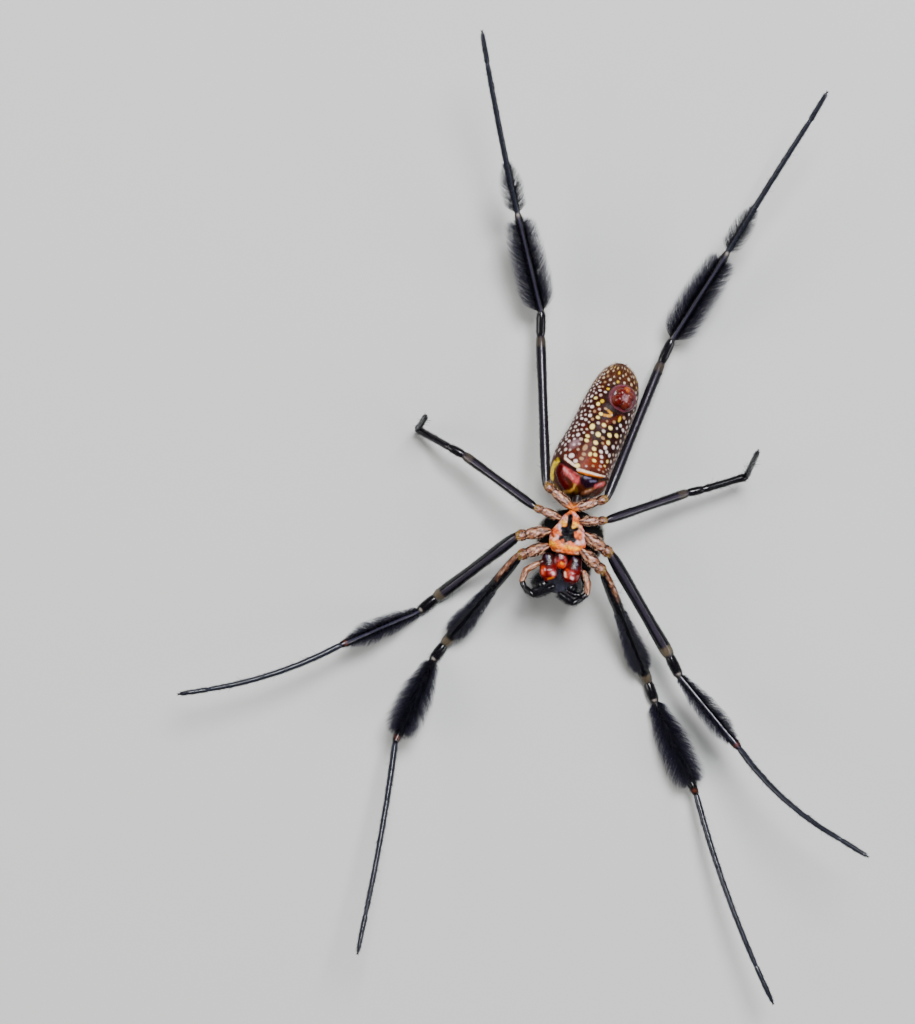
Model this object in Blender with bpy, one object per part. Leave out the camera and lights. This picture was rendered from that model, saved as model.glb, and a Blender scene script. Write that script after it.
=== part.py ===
"""Golden silk orb weaver, a life-size still model lying belly up.

The head points to -Y, the abdomen to +Y and the belly to +Z, so the photographed side of the
spider faces up. Every length below is in millimetres and every angle in degrees. A heading
turns from +X towards +Y, and a pitch rises from the floor towards +Z.
"""

import math
import random

import bmesh
import bpy
from mathutils import Vector

MM = 0.001

# The middle of the spread legs, taken off every place so that the model is centred
MIDDLE_X = 6.76
MIDDLE_Y = -1.14

JOINT_GAP = 0.3
FLOOR = 0.0

# Heights of the body above the floor, belly up
COXA_HEIGHT = 8.0
STERNUM_BOTTOM = 7.35
STERNUM_TOP = 8.5

BODY_HEADING = 262.0

# Real lengths of the leg pieces, one row for each pair of legs from the front
LEG_LENGTHS = {
    1: {"coxa": 3.05, "femur": 15.2, "patella": 2.35, "tibia": 11.05, "metatarsus": 19.8, "tarsus": 4.3},
    2: {"coxa": 3.2, "femur": 13.2, "patella": 2.5, "tibia": 10.2, "metatarsus": 15.3, "tarsus": 3.2},
    3: {"coxa": 2.7, "femur": 10.1, "patella": 1.9, "tibia": 5.1, "metatarsus": 6.2, "tarsus": 2.3},
    4: {"coxa": 3.55, "femur": 17.0, "patella": 2.75, "tibia": 11.4, "metatarsus": 17.0, "tarsus": 3.4},
}

# A leg that is a little shorter than its partner, as legs often are
LEG_SHARES = {"left_1": 0.965, "left_4": 0.985}

# Half widths of the leg pieces at their thickest
LEG_RADII = {
    1: {"coxa": 0.64, "femur": 0.66, "patella": 0.6, "tibia": 0.44, "metatarsus": 0.32, "tarsus": 0.27},
    2: {"coxa": 0.64, "femur": 0.71, "patella": 0.6, "tibia": 0.44, "metatarsus": 0.32, "tarsus": 0.27},
    3: {"coxa": 0.46, "femur": 0.53, "patella": 0.48, "tibia": 0.42, "metatarsus": 0.3, "tarsus": 0.26},
    4: {"coxa": 0.5, "femur": 0.56, "patella": 0.54, "tibia": 0.42, "metatarsus": 0.32, "tarsus": 0.27},
}

# How each leg is posed: where its coxa leaves the body, how far from there its own solid
# starts, and the heading and pitch of every piece. The metatarsus bends evenly along its run
LEG_POSES = {
    "left_1": {
        "socket": (9.45, -3.76), "start": 0.3, "coxa": (198.9, -5.0), "femur": (230.7, -29.4),
        "patella": (233.8, 2.0), "tibia": (244.9, 27.0), "metatarsus": ((262.5, 258.2), (19.0, 12.0)),
        "tarsus": (258.6, 15.0),
    },
    "right_1": {
        "socket": (13.63, -4.34), "start": 0.3, "coxa": (315.8, -5.0), "femur": (293.0, -28.2),
        "patella": (289.4, 2.0), "tibia": (293.9, 8.5), "metatarsus": ((284.7, 292.7), (13.0, 8.0)),
        "tarsus": (294.3, 9.0),
    },
    "left_2": {
        "socket": (9.61, -2.08), "start": 0.3, "coxa": (189.1, -5.0), "femur": (217.9, -32.9),
        "patella": (219.1, 2.0), "tibia": (202.6, 26.4), "metatarsus": ((206.4, 190.4), (12.0, 7.0)),
        "tarsus": (188.4, 12.0),
    },
    "right_2": {
        "socket": (14.04, -2.61), "start": 0.5, "coxa": (322.8, -5.0), "femur": (300.5, -12.8),
        "patella": (296.0, -2.0), "tibia": (309.4, 11.6), "metatarsus": ((306.2, 329.2), (26.0, 20.0)),
        "tarsus": (328.4, 17.0),
    },
    "left_3": {
        "socket": (10.9, -0.55), "start": 0.3, "coxa": (157.0, -5.0), "femur": (143.4, -19.2),
        "patella": (151.1, -8.0), "tibia": (150.0, -36.3), "metatarsus": ((49.5, 49.5), (74.0, 82.5)),
        "tarsus": (41.8, 83.7),
    },
    "right_3": {
        "socket": (13.43, -1.0), "start": 0.3, "coxa": (1.7, -5.0), "femur": (18.4, -20.2),
        "patella": (12.6, -8.0), "tibia": (16.3, -11.9), "metatarsus": ((81.0, 81.0), (70.0, 77.0)),
        "tarsus": (76.7, 68.0),
    },
    "left_4": {
        "socket": (12.18, 0.65), "start": 0.45, "coxa": (138.4, -5.0), "femur": (91.6, -14.1),
        "patella": (89.1, 5.0), "tibia": (104.2, 17.1), "metatarsus": ((103.4, 100.9), (21.0, 16.0)),
        "tarsus": (99.8, 14.0),
    },
    "right_4": {
        "socket": (12.77, 0.43), "start": 0.65, "coxa": (16.4, -5.0), "femur": (67.4, -17.6),
        "patella": (64.9, 5.0), "tibia": (58.1, 15.0), "metatarsus": ((59.5, 57.5), (22.5, 18.0)),
        "tarsus": (59.8, 15.0),
    },
}

# Shapes of the leg pieces: a share of the length, then a share of the half width
LEG_SHAPES = {
    "coxa": (
        (0.0, 0.72), (0.12, 0.95), (0.4, 1.0), (0.62, 0.86), (0.69, 0.76), (0.76, 0.92), (0.9, 0.95),
        (1.0, 0.7),
    ),
    "femur": (
        (0.0, 0.6), (0.04, 0.8), (0.2, 0.97), (0.45, 0.9), (0.62, 0.9), (0.78, 0.98), (0.9, 1.0),
        (0.965, 0.88), (1.0, 0.62),
    ),
    "patella": ((0.0, 0.62), (0.12, 0.86), (0.45, 1.0), (0.8, 0.94), (0.98, 0.74)),
    "tibia": (
        (0.05, 1.0), (0.2, 0.96), (0.4, 0.94), (0.6, 0.94), (0.8, 1.0), (0.92, 1.12), (0.97, 1.1),
        (1.0, 0.75),
    ),
    "metatarsus": (
        (0.0, 0.8), (0.02, 1.05), (0.12, 1.02), (0.25, 1.0), (0.4, 0.94), (0.6, 0.9), (0.8, 0.86),
        (0.96, 0.86), (1.0, 0.7),
    ),
    "tarsus": ((0.0, 0.75), (0.05, 1.0), (0.4, 0.96), (0.75, 0.86), (0.94, 0.7), (1.0, 0.4)),
}

LEG_FINISHES = {"coxa": "coxa", "femur": "leg", "tibia": "leg", "metatarsus": "foot", "tarsus": "foot"}

# Hair brushes: the share of the piece where their roots stand, how far their tips stand off its
# axis, how many rows of locks there are, how many locks go round, and how wide each lock is.
# A brush with a parting leaves the belly side of its piece bare
BRUSHES = {
    ("femur", 1): {
        "from": 0.5, "to": 0.84, "reach": 1.45, "rows": 4, "round": 5, "wide": 1.1, "parting": False,
    },
    ("tibia", 1): {
        "from": 0.03, "to": 0.83, "reach": 1.65, "rows": 6, "round": 5, "wide": 1.25, "parting": False,
    },
    ("tibia", 2): {
        "from": 0.05, "to": 0.85, "reach": 1.2, "rows": 5, "round": 4, "wide": 0.95, "parting": True,
    },
    ("tibia", 4): {
        "from": 0.04, "to": 0.83, "reach": 1.7, "rows": 5, "round": 5, "wide": 1.25, "parting": True,
    },
    ("metatarsus", 4): {
        "from": 0.03, "to": 0.32, "reach": 1.05, "rows": 3, "round": 4, "wide": 0.85, "parting": True,
    },
}

# A lock leans this far off its piece at its root and at its tip, and is this wide and thick
LOCK_LEANS = (42.0, 20.0)
LOCK_SIDES = 4
LOCK_THICKNESS = 0.5
LOCK_ROOT_WIDTH_SHARE = 0.7
LOCK_TIP_WIDTH = 0.16
LOCK_TIP_THICKNESS = 0.1
LOCK_ROOT_DEPTH = 0.5

# The core under the locks reaches this share of the way from the bare piece to their tips
LOCK_CORE_SHARE = 0.3
LOCK_CORE_FROM = -0.05
LOCK_CORE_TO = 1.1

# The first row of a brush is this short, and the rows behind it soon reach full length
FIRST_ROW_REACH = 0.66
ROW_REACH_GROWTH = 0.7

# No two locks are alike: how far each may turn, slide, lift and change in size
LOCK_TURN = 7.0
LOCK_SLIDE = 0.25
LOCK_LIFT = 0.12
LOCK_SIZES = (0.9, 1.04)
LOCK_WIDTHS = (0.9, 1.1)
HAIR_CLEARANCE = 0.28
HAIR_SEED = 7

LEG_PIECES = ("coxa", "femur", "tibia", "metatarsus", "tarsus")
SIDES = {"coxa": 8, "femur": 8, "tibia": 8, "metatarsus": 6, "tarsus": 6}

# A piece is this much slimmer at its joint than at its thickest
JOINT_WAIST = 0.75


def new_material(name, colour, roughness, metallic=0.0):
    """One material of a plain colour, with its finish on the shader's own sockets."""
    material = bpy.data.materials.new(name)
    material.use_nodes = True
    shader = material.node_tree.nodes["Principled BSDF"]
    shader.inputs["Base Color"].default_value = (*colour, 1.0)
    shader.inputs["Roughness"].default_value = roughness
    shader.inputs["Metallic"].default_value = metallic
    material.diffuse_color = (*colour, 1.0)
    return material


def direction(heading, pitch):
    """A unit vector that points along a heading and a pitch."""
    turn = math.radians(heading)
    rise = math.radians(pitch)
    return Vector((math.cos(rise) * math.cos(turn), math.cos(rise) * math.sin(turn), math.sin(rise)))


def side_of(heading):
    """The level unit vector that points to the right of a heading."""
    turn = math.radians(heading)
    return Vector((math.sin(turn), -math.cos(turn), 0.0))


def place(x, y, z):
    """A point of the model, shifted so that the spread legs are centred on the origin."""
    return Vector((x - MIDDLE_X, y - MIDDLE_Y, z))


def mix(first, second, share):
    return first + (second - first) * share


def walk(start, runs):
    """Chain straight runs of (heading, pitch, length) end to end and return their start points."""
    chain = []
    point = start.copy()
    for heading, pitch, length in runs:
        chain.append((point.copy(), heading, pitch, length))
        point = point + direction(heading, pitch) * length
    return chain, point


# A path turns from one run into the next over this much of each
EASE_REACH = 0.5


def station_on(chain, distance):
    """The point and the eased heading and pitch at a distance along a chain of runs."""
    travelled = 0.0
    for index, (point, heading, pitch, length) in enumerate(chain):
        last = index == len(chain) - 1
        if distance <= travelled + length or last:
            inside = distance - travelled
            centre = point + direction(heading, pitch) * inside
            reach = min(EASE_REACH, 0.5 * length)
            if not last and length - inside < reach:
                share = 0.5 * (1.0 - (length - inside) / reach)
                follower = chain[index + 1]
                return centre, mix(heading, follower[1], share), mix(pitch, follower[2], share)
            if index > 0 and inside < reach:
                share = 0.5 * (1.0 - inside / reach)
                leader = chain[index - 1]
                return centre, mix(heading, leader[1], share), mix(pitch, leader[2], share)
            return centre, heading, pitch
        travelled += length


def frame_on(chain, distance):
    """A point of a chain with the unit vectors to its right, above it and along it."""
    centre, heading, pitch = station_on(chain, distance)
    forward = direction(heading, pitch)
    side = side_of(heading)
    return centre, side, side.cross(forward), forward


def add_ring(mesh, centre, side, up, across, below, above, sides):
    """Add one ring across two unit vectors, with its own reach to the sides, below and above."""
    made = bmesh.ops.create_circle(mesh, segments=sides, radius=1.0)
    for vert in made["verts"]:
        right = vert.co.x
        rise = vert.co.y
        lift = above if rise > 0 else below
        vert.co = centre + side * (right * across) + up * (rise * lift)
    edges = {edge for vert in made["verts"] for edge in vert.link_edges}
    return made["verts"], list(edges)


def close_rings(mesh, rings):
    """Bridge rings into one closed skin with a flat face at each end."""
    for (_, near), (_, far) in zip(rings, rings[1:]):
        bmesh.ops.bridge_loops(mesh, edges=near + far)
    for _, edges in (rings[0], rings[-1]):
        bmesh.ops.contextual_create(mesh, geom=edges)
    bmesh.ops.recalc_face_normals(mesh, faces=mesh.faces)


def rest_on_floor(mesh):
    """Flatten whatever would sink below the floor, which leaves small flats to rest on."""
    for vert in mesh.verts:
        vert.co.z = max(vert.co.z, FLOOR)


def loft(chain, profile, sides):
    """A closed solid round a chain. Each profile row is distance, across, below and above."""
    mesh = bmesh.new()
    rings = []
    for distance, across, below, above in profile:
        centre, side, up, _ = frame_on(chain, distance)
        rings.append(add_ring(mesh, centre, side, up, across, below, above, sides))
    close_rings(mesh, rings)
    rest_on_floor(mesh)
    return mesh


def finish_node(name, mesh, material):
    """Turn a bmesh in millimetres into a named, smooth-shaded object in metres."""
    bmesh.ops.scale(mesh, vec=(MM, MM, MM), verts=mesh.verts)
    data = bpy.data.meshes.new(name)
    mesh.to_mesh(data)
    mesh.free()
    data.materials.append(material)
    data.shade_smooth()
    node = bpy.data.objects.new(name, data)
    bpy.context.scene.collection.objects.link(node)
    return node


def round_profile(rows):
    """Profile rows of distance and radius, for a piece that is round all the way."""
    return [(distance, radius, radius, radius) for distance, radius in rows]


def shape_rows(shape, length, full, start=0.0):
    """Rows of distance and radius from a shape's shares of a length and of a half width."""
    return [(start + length * share, full * size) for share, size in shape]


def thicken(rows, brush, start, length):
    """Widen a row of radii where the brush stands, by less than half way to its tips."""
    shaped = []
    for distance, radius in rows:
        share = ((distance - start) / length - brush["from"]) / (brush["to"] - brush["from"])
        if LOCK_CORE_FROM <= share <= LOCK_CORE_TO:
            radius = mix(radius, brush["reach"], LOCK_CORE_SHARE)
        shaped.append((distance, radius))
    return shaped


def lock_mesh(chain, distance, around, root, reach, wide, lift):
    """One flat, tapered lock that leans along the run and bends over towards its tip."""
    centre, side, up, forward = frame_on(chain, distance)
    out = side * math.cos(around) + up * math.sin(around)
    broad = forward.cross(out)
    leans = [math.radians(lean) for lean in LOCK_LEANS]
    step = (reach - root) / sum(math.sin(lean) for lean in leans)
    point = centre + out * root
    mesh = bmesh.new()
    rings = []
    widths = (LOCK_ROOT_WIDTH_SHARE * wide, wide, LOCK_TIP_WIDTH)
    depths = (LOCK_THICKNESS, LOCK_THICKNESS, LOCK_TIP_THICKNESS)
    for index, (width, depth) in enumerate(zip(widths, depths)):
        lean = leans[max(index - 1, 0)]
        onward = forward * math.cos(lean) + out * math.sin(lean)
        flat = onward.cross(broad)
        if index > 0:
            point = point + onward * step
        half_wide = 0.5 * width
        half_deep = 0.5 * depth
        floor_reach = HAIR_CLEARANCE + lift + abs(broad.z) * half_wide + abs(flat.z) * half_deep
        spot = point.copy()
        spot.z = max(spot.z, floor_reach)
        rings.append(add_ring(mesh, spot, broad, flat, half_wide, half_deep, half_deep, LOCK_SIDES))
    close_rings(mesh, rings)
    return mesh


def brush_locks(chain, brush, start, length, radius, draw):
    """All the locks of one brush, row after row and staggered, short where it begins."""
    locks = []
    for row in range(brush["rows"]):
        share = row / (brush["rows"] - 1)
        along = start + length * mix(brush["from"], brush["to"], share)
        reach = brush["reach"] * min(1.0, FIRST_ROW_REACH + ROW_REACH_GROWTH * share)
        root = LOCK_ROOT_DEPTH * mix(radius, brush["reach"], LOCK_CORE_SHARE)
        stagger = 0.5 if brush["parting"] else 0.5 * (row % 2)
        for index in range(brush["round"]):
            angle = 90.0 + 360.0 * (index + stagger) / brush["round"] + draw.uniform(-LOCK_TURN, LOCK_TURN)
            distance = along + draw.uniform(-LOCK_SLIDE, LOCK_SLIDE)
            tip = reach * draw.uniform(*LOCK_SIZES)
            lift = draw.uniform(0.0, LOCK_LIFT)
            wide = brush["wide"] * draw.uniform(*LOCK_WIDTHS)
            locks.append(lock_mesh(chain, distance, math.radians(angle), root, tip, wide, lift))
    return locks


def largest_surface(mesh):
    """Keep the largest closed surface of a mesh and drop every other scrap."""
    unseen = set(mesh.faces)
    shells = []
    while unseen:
        shell = {unseen.pop()}
        edge_of_shell = list(shell)
        while edge_of_shell:
            face = edge_of_shell.pop()
            for edge in face.edges:
                for other in edge.link_faces:
                    if other in unseen:
                        unseen.discard(other)
                        shell.add(other)
                        edge_of_shell.append(other)
        shells.append(shell)
    shells.sort(key=lambda shell: sum(face.calc_area() for face in shell), reverse=True)
    scraps = [face for shell in shells[1:] for face in shell]
    if scraps:
        bmesh.ops.delete(mesh, geom=scraps, context="FACES")


def fuse_locks(node, locks, material):
    """Join the locks to their leg piece with one union, applied to its mesh."""
    pile = bpy.data.collections.new(f"{node.name}_locks")
    bpy.context.scene.collection.children.link(pile)
    pieces = []
    for index, mesh in enumerate(locks):
        piece = finish_node(f"{node.name}_lock_{index}", mesh, material)
        bpy.context.scene.collection.objects.unlink(piece)
        pile.objects.link(piece)
        pieces.append(piece)
    union = node.modifiers.new("locks", "BOOLEAN")
    union.operation = "UNION"
    union.operand_type = "COLLECTION"
    union.collection = pile
    union.solver = "EXACT"
    shape = bpy.context.evaluated_depsgraph_get()
    fused = bpy.data.meshes.new_from_object(node.evaluated_get(shape))
    node.modifiers.remove(union)
    mesh = bmesh.new()
    mesh.from_mesh(fused)
    largest_surface(mesh)
    mesh.to_mesh(node.data)
    mesh.free()
    for piece in pieces:
        bpy.data.objects.remove(piece, do_unlink=True)
    bpy.data.collections.remove(pile)
    bpy.data.meshes.remove(fused)


def leg_rows(piece, lengths, radii, trims):
    """Rows of one leg solid between its trimmed ends. The tibia's solid starts with the kneecap."""
    start, end = trims
    run = lengths[piece] - end
    if piece != "tibia":
        return shape_rows(LEG_SHAPES[piece], run - start, radii[piece], start)
    knee = lengths["patella"]
    bulb = shape_rows(LEG_SHAPES["patella"], knee - start, radii["patella"], start)
    return bulb + shape_rows(LEG_SHAPES["tibia"], run, radii["tibia"], knee)


def make_leg_piece(name, piece, pair, chain, rows, stretch, material, draw):
    """One leg solid round its chain, with a brush of locks if its pair of legs carries one there.

    The stretch is where along the chain the brushed piece starts and how long it is.
    """
    brush = BRUSHES.get((piece, pair))
    start, length = stretch
    if brush:
        rows = thicken(rows, brush, start, length)
    mesh = loft(chain, round_profile(rows), SIDES[piece])
    node = finish_node(f"leg_{name}_{piece}", mesh, material)
    if brush:
        locks = brush_locks(chain, brush, start, length, LEG_RADII[pair][piece], draw)
        fuse_locks(node, locks, material)


BEND_STEPS = 6


def bend_runs(bend, length):
    """Short runs whose heading and pitch change evenly from one end of a piece to the other."""
    (heading_in, heading_out), (pitch_in, pitch_out) = bend
    runs = []
    for step in range(BEND_STEPS):
        share = step / (BEND_STEPS - 1)
        heading = mix(heading_in, heading_out, share)
        runs.append((heading, mix(pitch_in, pitch_out, share), length / BEND_STEPS))
    return runs


def joint_trims(runs, radii, start):
    """How far each piece stops short of its joints, so that the bends keep the pieces apart."""
    trims = {piece: [0.0, 0.0] for piece in LEG_PIECES}
    trims["coxa"][0] = start
    for near, far in zip(LEG_PIECES, LEG_PIECES[1:]):
        bend = direction(*runs[near][-1][:2]).angle(direction(*runs[far][0][:2]))
        trim = 0.5 * JOINT_GAP + JOINT_WAIST * radii[near] * math.tan(0.5 * bend)
        trims[near][1] = trim
        trims[far][0] = trim
    return trims


def make_leg(name, pair, pose, materials, draw):
    """Chain the five solids of one leg from its socket to its claws."""
    share = LEG_SHARES.get(name, 1.0)
    lengths = {piece: length * share for piece, length in LEG_LENGTHS[pair].items()}
    runs = {piece: [(*pose[piece], lengths[piece])] for piece in ("coxa", "femur", "tarsus")}
    runs["tibia"] = [(*pose["patella"], lengths["patella"]), (*pose["tibia"], lengths["tibia"])]
    runs["metatarsus"] = bend_runs(pose["metatarsus"], lengths["metatarsus"])
    trims = joint_trims(runs, LEG_RADII[pair], pose["start"])
    point = place(*pose["socket"], COXA_HEIGHT)
    for piece in LEG_PIECES:
        chain, point = walk(point, runs[piece])
        rows = leg_rows(piece, lengths, LEG_RADII[pair], trims[piece])
        before = lengths["patella"] if piece == "tibia" else 0.0
        material = materials[LEG_FINISHES[piece]]
        make_leg_piece(name, piece, pair, chain, rows, (before, lengths[piece]), material, draw)


def level_loft(start, runs, rows, sides):
    """A solid round a level path. Each row is distance, half width, bottom and top height."""
    chain, _ = walk(place(*start, 0.0), [(heading, 0.0, length) for heading, length in runs])
    mesh = bmesh.new()
    rings = []
    for distance, across, bottom, top in rows:
        centre, side, up, _ = frame_on(chain, distance)
        half = 0.5 * (top - bottom)
        centre.z = bottom + half
        rings.append(add_ring(mesh, centre, side, up, across, half, half, sides))
    close_rings(mesh, rings)
    return mesh


# Rows of the carapace from the pedicel to the brow: distance, half width, bottom and top
CARAPACE_START = (12.85, 0.8)
CARAPACE_ROWS = (
    (0.0, 0.45, 6.0, 6.85), (0.45, 0.5, 5.95, 6.9), (0.85, 1.55, 5.0, 6.95), (1.8, 2.9, 4.2, 7.0),
    (3.5, 3.65, 3.85, 7.0), (5.2, 3.3, 3.7, 7.0), (6.25, 2.8, 3.45, 6.9), (6.95, 2.65, 3.4, 5.25),
    (8.4, 2.5, 3.5, 5.1), (9.2, 2.1, 3.75, 4.95), (9.6, 1.45, 4.05, 4.75),
)

# Rows of the sternum and the lip in front of it: distance, half width, bottom and top
STERNUM_START = (12.45, 0.1)
STERNUM_ROWS = (
    (0.0, 0.3, 7.6, 8.25), (0.5, 0.75, STERNUM_BOTTOM, 8.4), (1.5, 1.25, STERNUM_BOTTOM, STERNUM_TOP),
    (2.8, 1.95, STERNUM_BOTTOM, STERNUM_TOP), (4.0, 1.85, STERNUM_BOTTOM, STERNUM_TOP),
    (4.55, 1.55, STERNUM_BOTTOM, 8.4), (4.7, 0.75, 7.5, 8.3), (5.2, 0.6, 7.45, 8.45), (5.8, 0.3, 7.6, 8.3),
)


def make_carapace(materials):
    mesh = level_loft(CARAPACE_START, [(BODY_HEADING, 9.6)], CARAPACE_ROWS, 20)
    finish_node("cephalothorax", mesh, materials["carapace"])


def make_sternum(materials):
    mesh = level_loft(STERNUM_START, [(BODY_HEADING - 1.0, 5.8)], STERNUM_ROWS, 16)
    finish_node("sternum", mesh, materials["sternum"])


# The abdomen bends a little to one side and sinks towards the floor behind
ABDOMEN_START = (13.15, 1.25, 5.1)
ABDOMEN_RUNS = ((84.0, -12.0, 3.7), (61.0, -13.0, 3.9), (66.0, -13.0, 5.6), (79.0, -2.0, 3.1))
ABDOMEN_ROWS = (
    (0.0, 0.8, 0.8, 0.8), (0.35, 1.7, 1.6, 1.6), (1.2, 2.55, 2.5, 2.5), (2.6, 3.0, 2.95, 3.0),
    (4.6, 3.17, 3.05, 3.1), (7.0, 3.12, 3.05, 3.05), (9.5, 3.02, 2.95, 2.9), (12.0, 2.85, 2.75, 2.7),
    (13.9, 2.45, 2.35, 2.35), (15.4, 1.6, 1.55, 1.55), (16.25, 0.55, 0.6, 0.6),
)


def make_abdomen(materials):
    chain, _ = walk(place(*ABDOMEN_START), ABDOMEN_RUNS)
    mesh = loft(chain, ABDOMEN_ROWS, 24)
    finish_node("abdomen", mesh, materials["abdomen"])


SPINNERET_BASE = (18.0, 12.35, 5.5)
SPINNERET_LEAN = (345.0, 68.0)
SPINNERET_ROWS = ((0.0, 0.95), (0.3, 1.15), (0.7, 0.95), (1.0, 0.5))


def make_spinnerets(materials):
    chain, _ = walk(place(*SPINNERET_BASE), [(*SPINNERET_LEAN, 1.0)])
    mesh = loft(chain, round_profile(SPINNERET_ROWS), 12)
    finish_node("spinnerets", mesh, materials["spinnerets"])


# The jaws stand side by side on the brow, the fangs lie folded across their ends
JAWS = {"left": (9.35, -7.35), "right": (12.3, -7.75)}
JAW_LEAN = (BODY_HEADING, 72.0)
JAW_BASE = 5.4
JAW_ROWS = ((0.0, 0.95), (0.35, 1.2), (1.0, 1.32), (1.5, 1.2), (1.8, 0.8))
FANGS = {"left": ((8.35, -8.55), 12.0), "right": ((13.2, -9.15), 152.0)}
FANG_HEIGHT = 7.62
FANG_ROWS = ((0.0, 0.3), (0.2, 0.36), (0.9, 0.3), (1.5, 0.2), (1.9, 0.1))
MAXILLAE = {"left": ((9.85, -5.0), 271.0), "right": ((12.9, -5.45), 252.0)}
MAXILLA_ROWS = (
    (0.0, 0.45, 7.65, 8.35), (0.5, 0.6, 7.6, 8.45), (1.2, 0.85, 7.6, 8.55), (1.9, 0.85, 7.6, 8.5),
    (2.35, 0.5, 7.7, 8.35),
)


def make_mouth(materials):
    for side, (x, y) in JAWS.items():
        chain, _ = walk(place(x, y, JAW_BASE), [(*JAW_LEAN, 1.8)])
        mesh = loft(chain, round_profile(JAW_ROWS), 14)
        finish_node(f"chelicera_{side}", mesh, materials["jaw"])
    for side, ((x, y), heading) in FANGS.items():
        chain, _ = walk(place(x, y, FANG_HEIGHT), [(heading, 0.0, 1.9)])
        mesh = loft(chain, round_profile(FANG_ROWS), 8)
        finish_node(f"fang_{side}", mesh, materials["jaw"])
    for side, (start, heading) in MAXILLAE.items():
        mesh = level_loft(start, [(heading, 2.35)], MAXILLA_ROWS, 12)
        finish_node(f"maxilla_{side}", mesh, materials["maxilla"])


# Each palp bends inwards in front of the jaws: heading, pitch and length of its five runs
PALPS = {
    "left": ((8.75, -5.65, 7.8), ((229.0, 3.0, 2.8), (276.0, 12.0, 0.7), (318.0, 20.0, 0.9),
                                  (327.0, 20.0, 0.9), (24.0, 3.0, 2.3))),
    "right": ((13.7, -6.6, 7.8), ((291.5, 5.0, 2.5), (254.0, 12.0, 0.6), (199.0, 20.0, 1.3),
                                    (213.0, 20.0, 0.7), (139.0, 3.0, 1.6))),
}
PALP_SHAPE = (
    (0.0, 0.24), (0.06, 0.32), (0.3, 0.33), (0.38, 0.3), (0.46, 0.34), (0.56, 0.33), (0.68, 0.36),
    (0.8, 0.38), (0.93, 0.32), (1.0, 0.16),
)


def make_palps(materials):
    for side, (start, runs) in PALPS.items():
        chain, _ = walk(place(*start), runs)
        length = sum(run[2] for run in runs)
        rows = [(length * share, radius) for share, radius in PALP_SHAPE]
        mesh = loft(chain, round_profile(rows), 8)
        finish_node(f"palp_{side}", mesh, materials["foot"])


# Eyes: how far from the middle of the brow, how far along the body axis, height and radius
EYES = {
    "eye_front_median": (0.4, 10.0, 4.6, 0.2),
    "eye_rear_median": (0.52, 9.8, 3.72, 0.2),
    "eye_front_lateral": (1.86, 9.7, 4.68, 0.18),
    "eye_rear_lateral": (2.08, 9.56, 4.08, 0.18),
}


def make_eyes(materials):
    forward = direction(BODY_HEADING, 0.0)
    right = side_of(BODY_HEADING)
    middle = place(*CARAPACE_START, 0.0)
    for name, (offset, distance, height, radius) in EYES.items():
        for side, sign in (("left", 1.0), ("right", -1.0)):
            centre = middle + forward * distance + right * (sign * offset)
            centre.z = height
            mesh = bmesh.new()
            bmesh.ops.create_icosphere(mesh, subdivisions=2, radius=radius)
            bmesh.ops.translate(mesh, vec=centre, verts=mesh.verts)
            finish_node(f"{name}_{side}", mesh, materials["eye"])


def make_materials():
    return {
        "leg": new_material("glossy_black_leg", (0.02, 0.02, 0.024), 0.25),
        "foot": new_material("slate_black_foot", (0.035, 0.04, 0.05), 0.4),
        "coxa": new_material("mottled_tan_coxa", (0.42, 0.27, 0.18), 0.5),
        "carapace": new_material("silver_haired_carapace", (0.35, 0.32, 0.28), 0.7),
        "sternum": new_material("peach_sternum", (0.8, 0.38, 0.2), 0.4),
        "abdomen": new_material("red_brown_abdomen", (0.27, 0.09, 0.05), 0.5),
        "spinnerets": new_material("red_spinnerets", (0.3, 0.07, 0.05), 0.35),
        "jaw": new_material("shiny_black_jaw", (0.015, 0.012, 0.014), 0.15),
        "maxilla": new_material("orange_red_maxilla", (0.65, 0.14, 0.05), 0.25),
        "eye": new_material("glassy_eye", (0.01, 0.01, 0.012), 0.05),
    }


def clear_scene():
    for thing in list(bpy.data.objects):
        bpy.data.objects.remove(thing, do_unlink=True)


def main():
    clear_scene()
    materials = make_materials()
    make_carapace(materials)
    make_sternum(materials)
    make_abdomen(materials)
    make_spinnerets(materials)
    make_mouth(materials)
    make_palps(materials)
    make_eyes(materials)
    draw = random.Random(HAIR_SEED)
    for side in ("left", "right"):
        for pair in (1, 2, 3, 4):
            name = f"{side}_{pair}"
            make_leg(name, pair, LEG_POSES[name], materials, draw)


main()
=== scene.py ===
# %% [markdown]
# # A golden silk orb weaver, belly up
#
# This lesson dresses the imported solids of a life-size spider. The solids give the place and the
# size of every part. Here they get one continuous skin, glossy jaws, glassy eyes, claws, and a
# coat of many thousand hairs. All sizes are in millimetres until a piece is finished, because a
# spider measured in metres is all zeros.

# %% Blender, the imported solids, their boxes and the bodies they ride on
import math

import bmesh
import bpy
import numpy as np
from mathutils import Matrix, Vector
from mathutils.kdtree import KDTree


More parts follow.
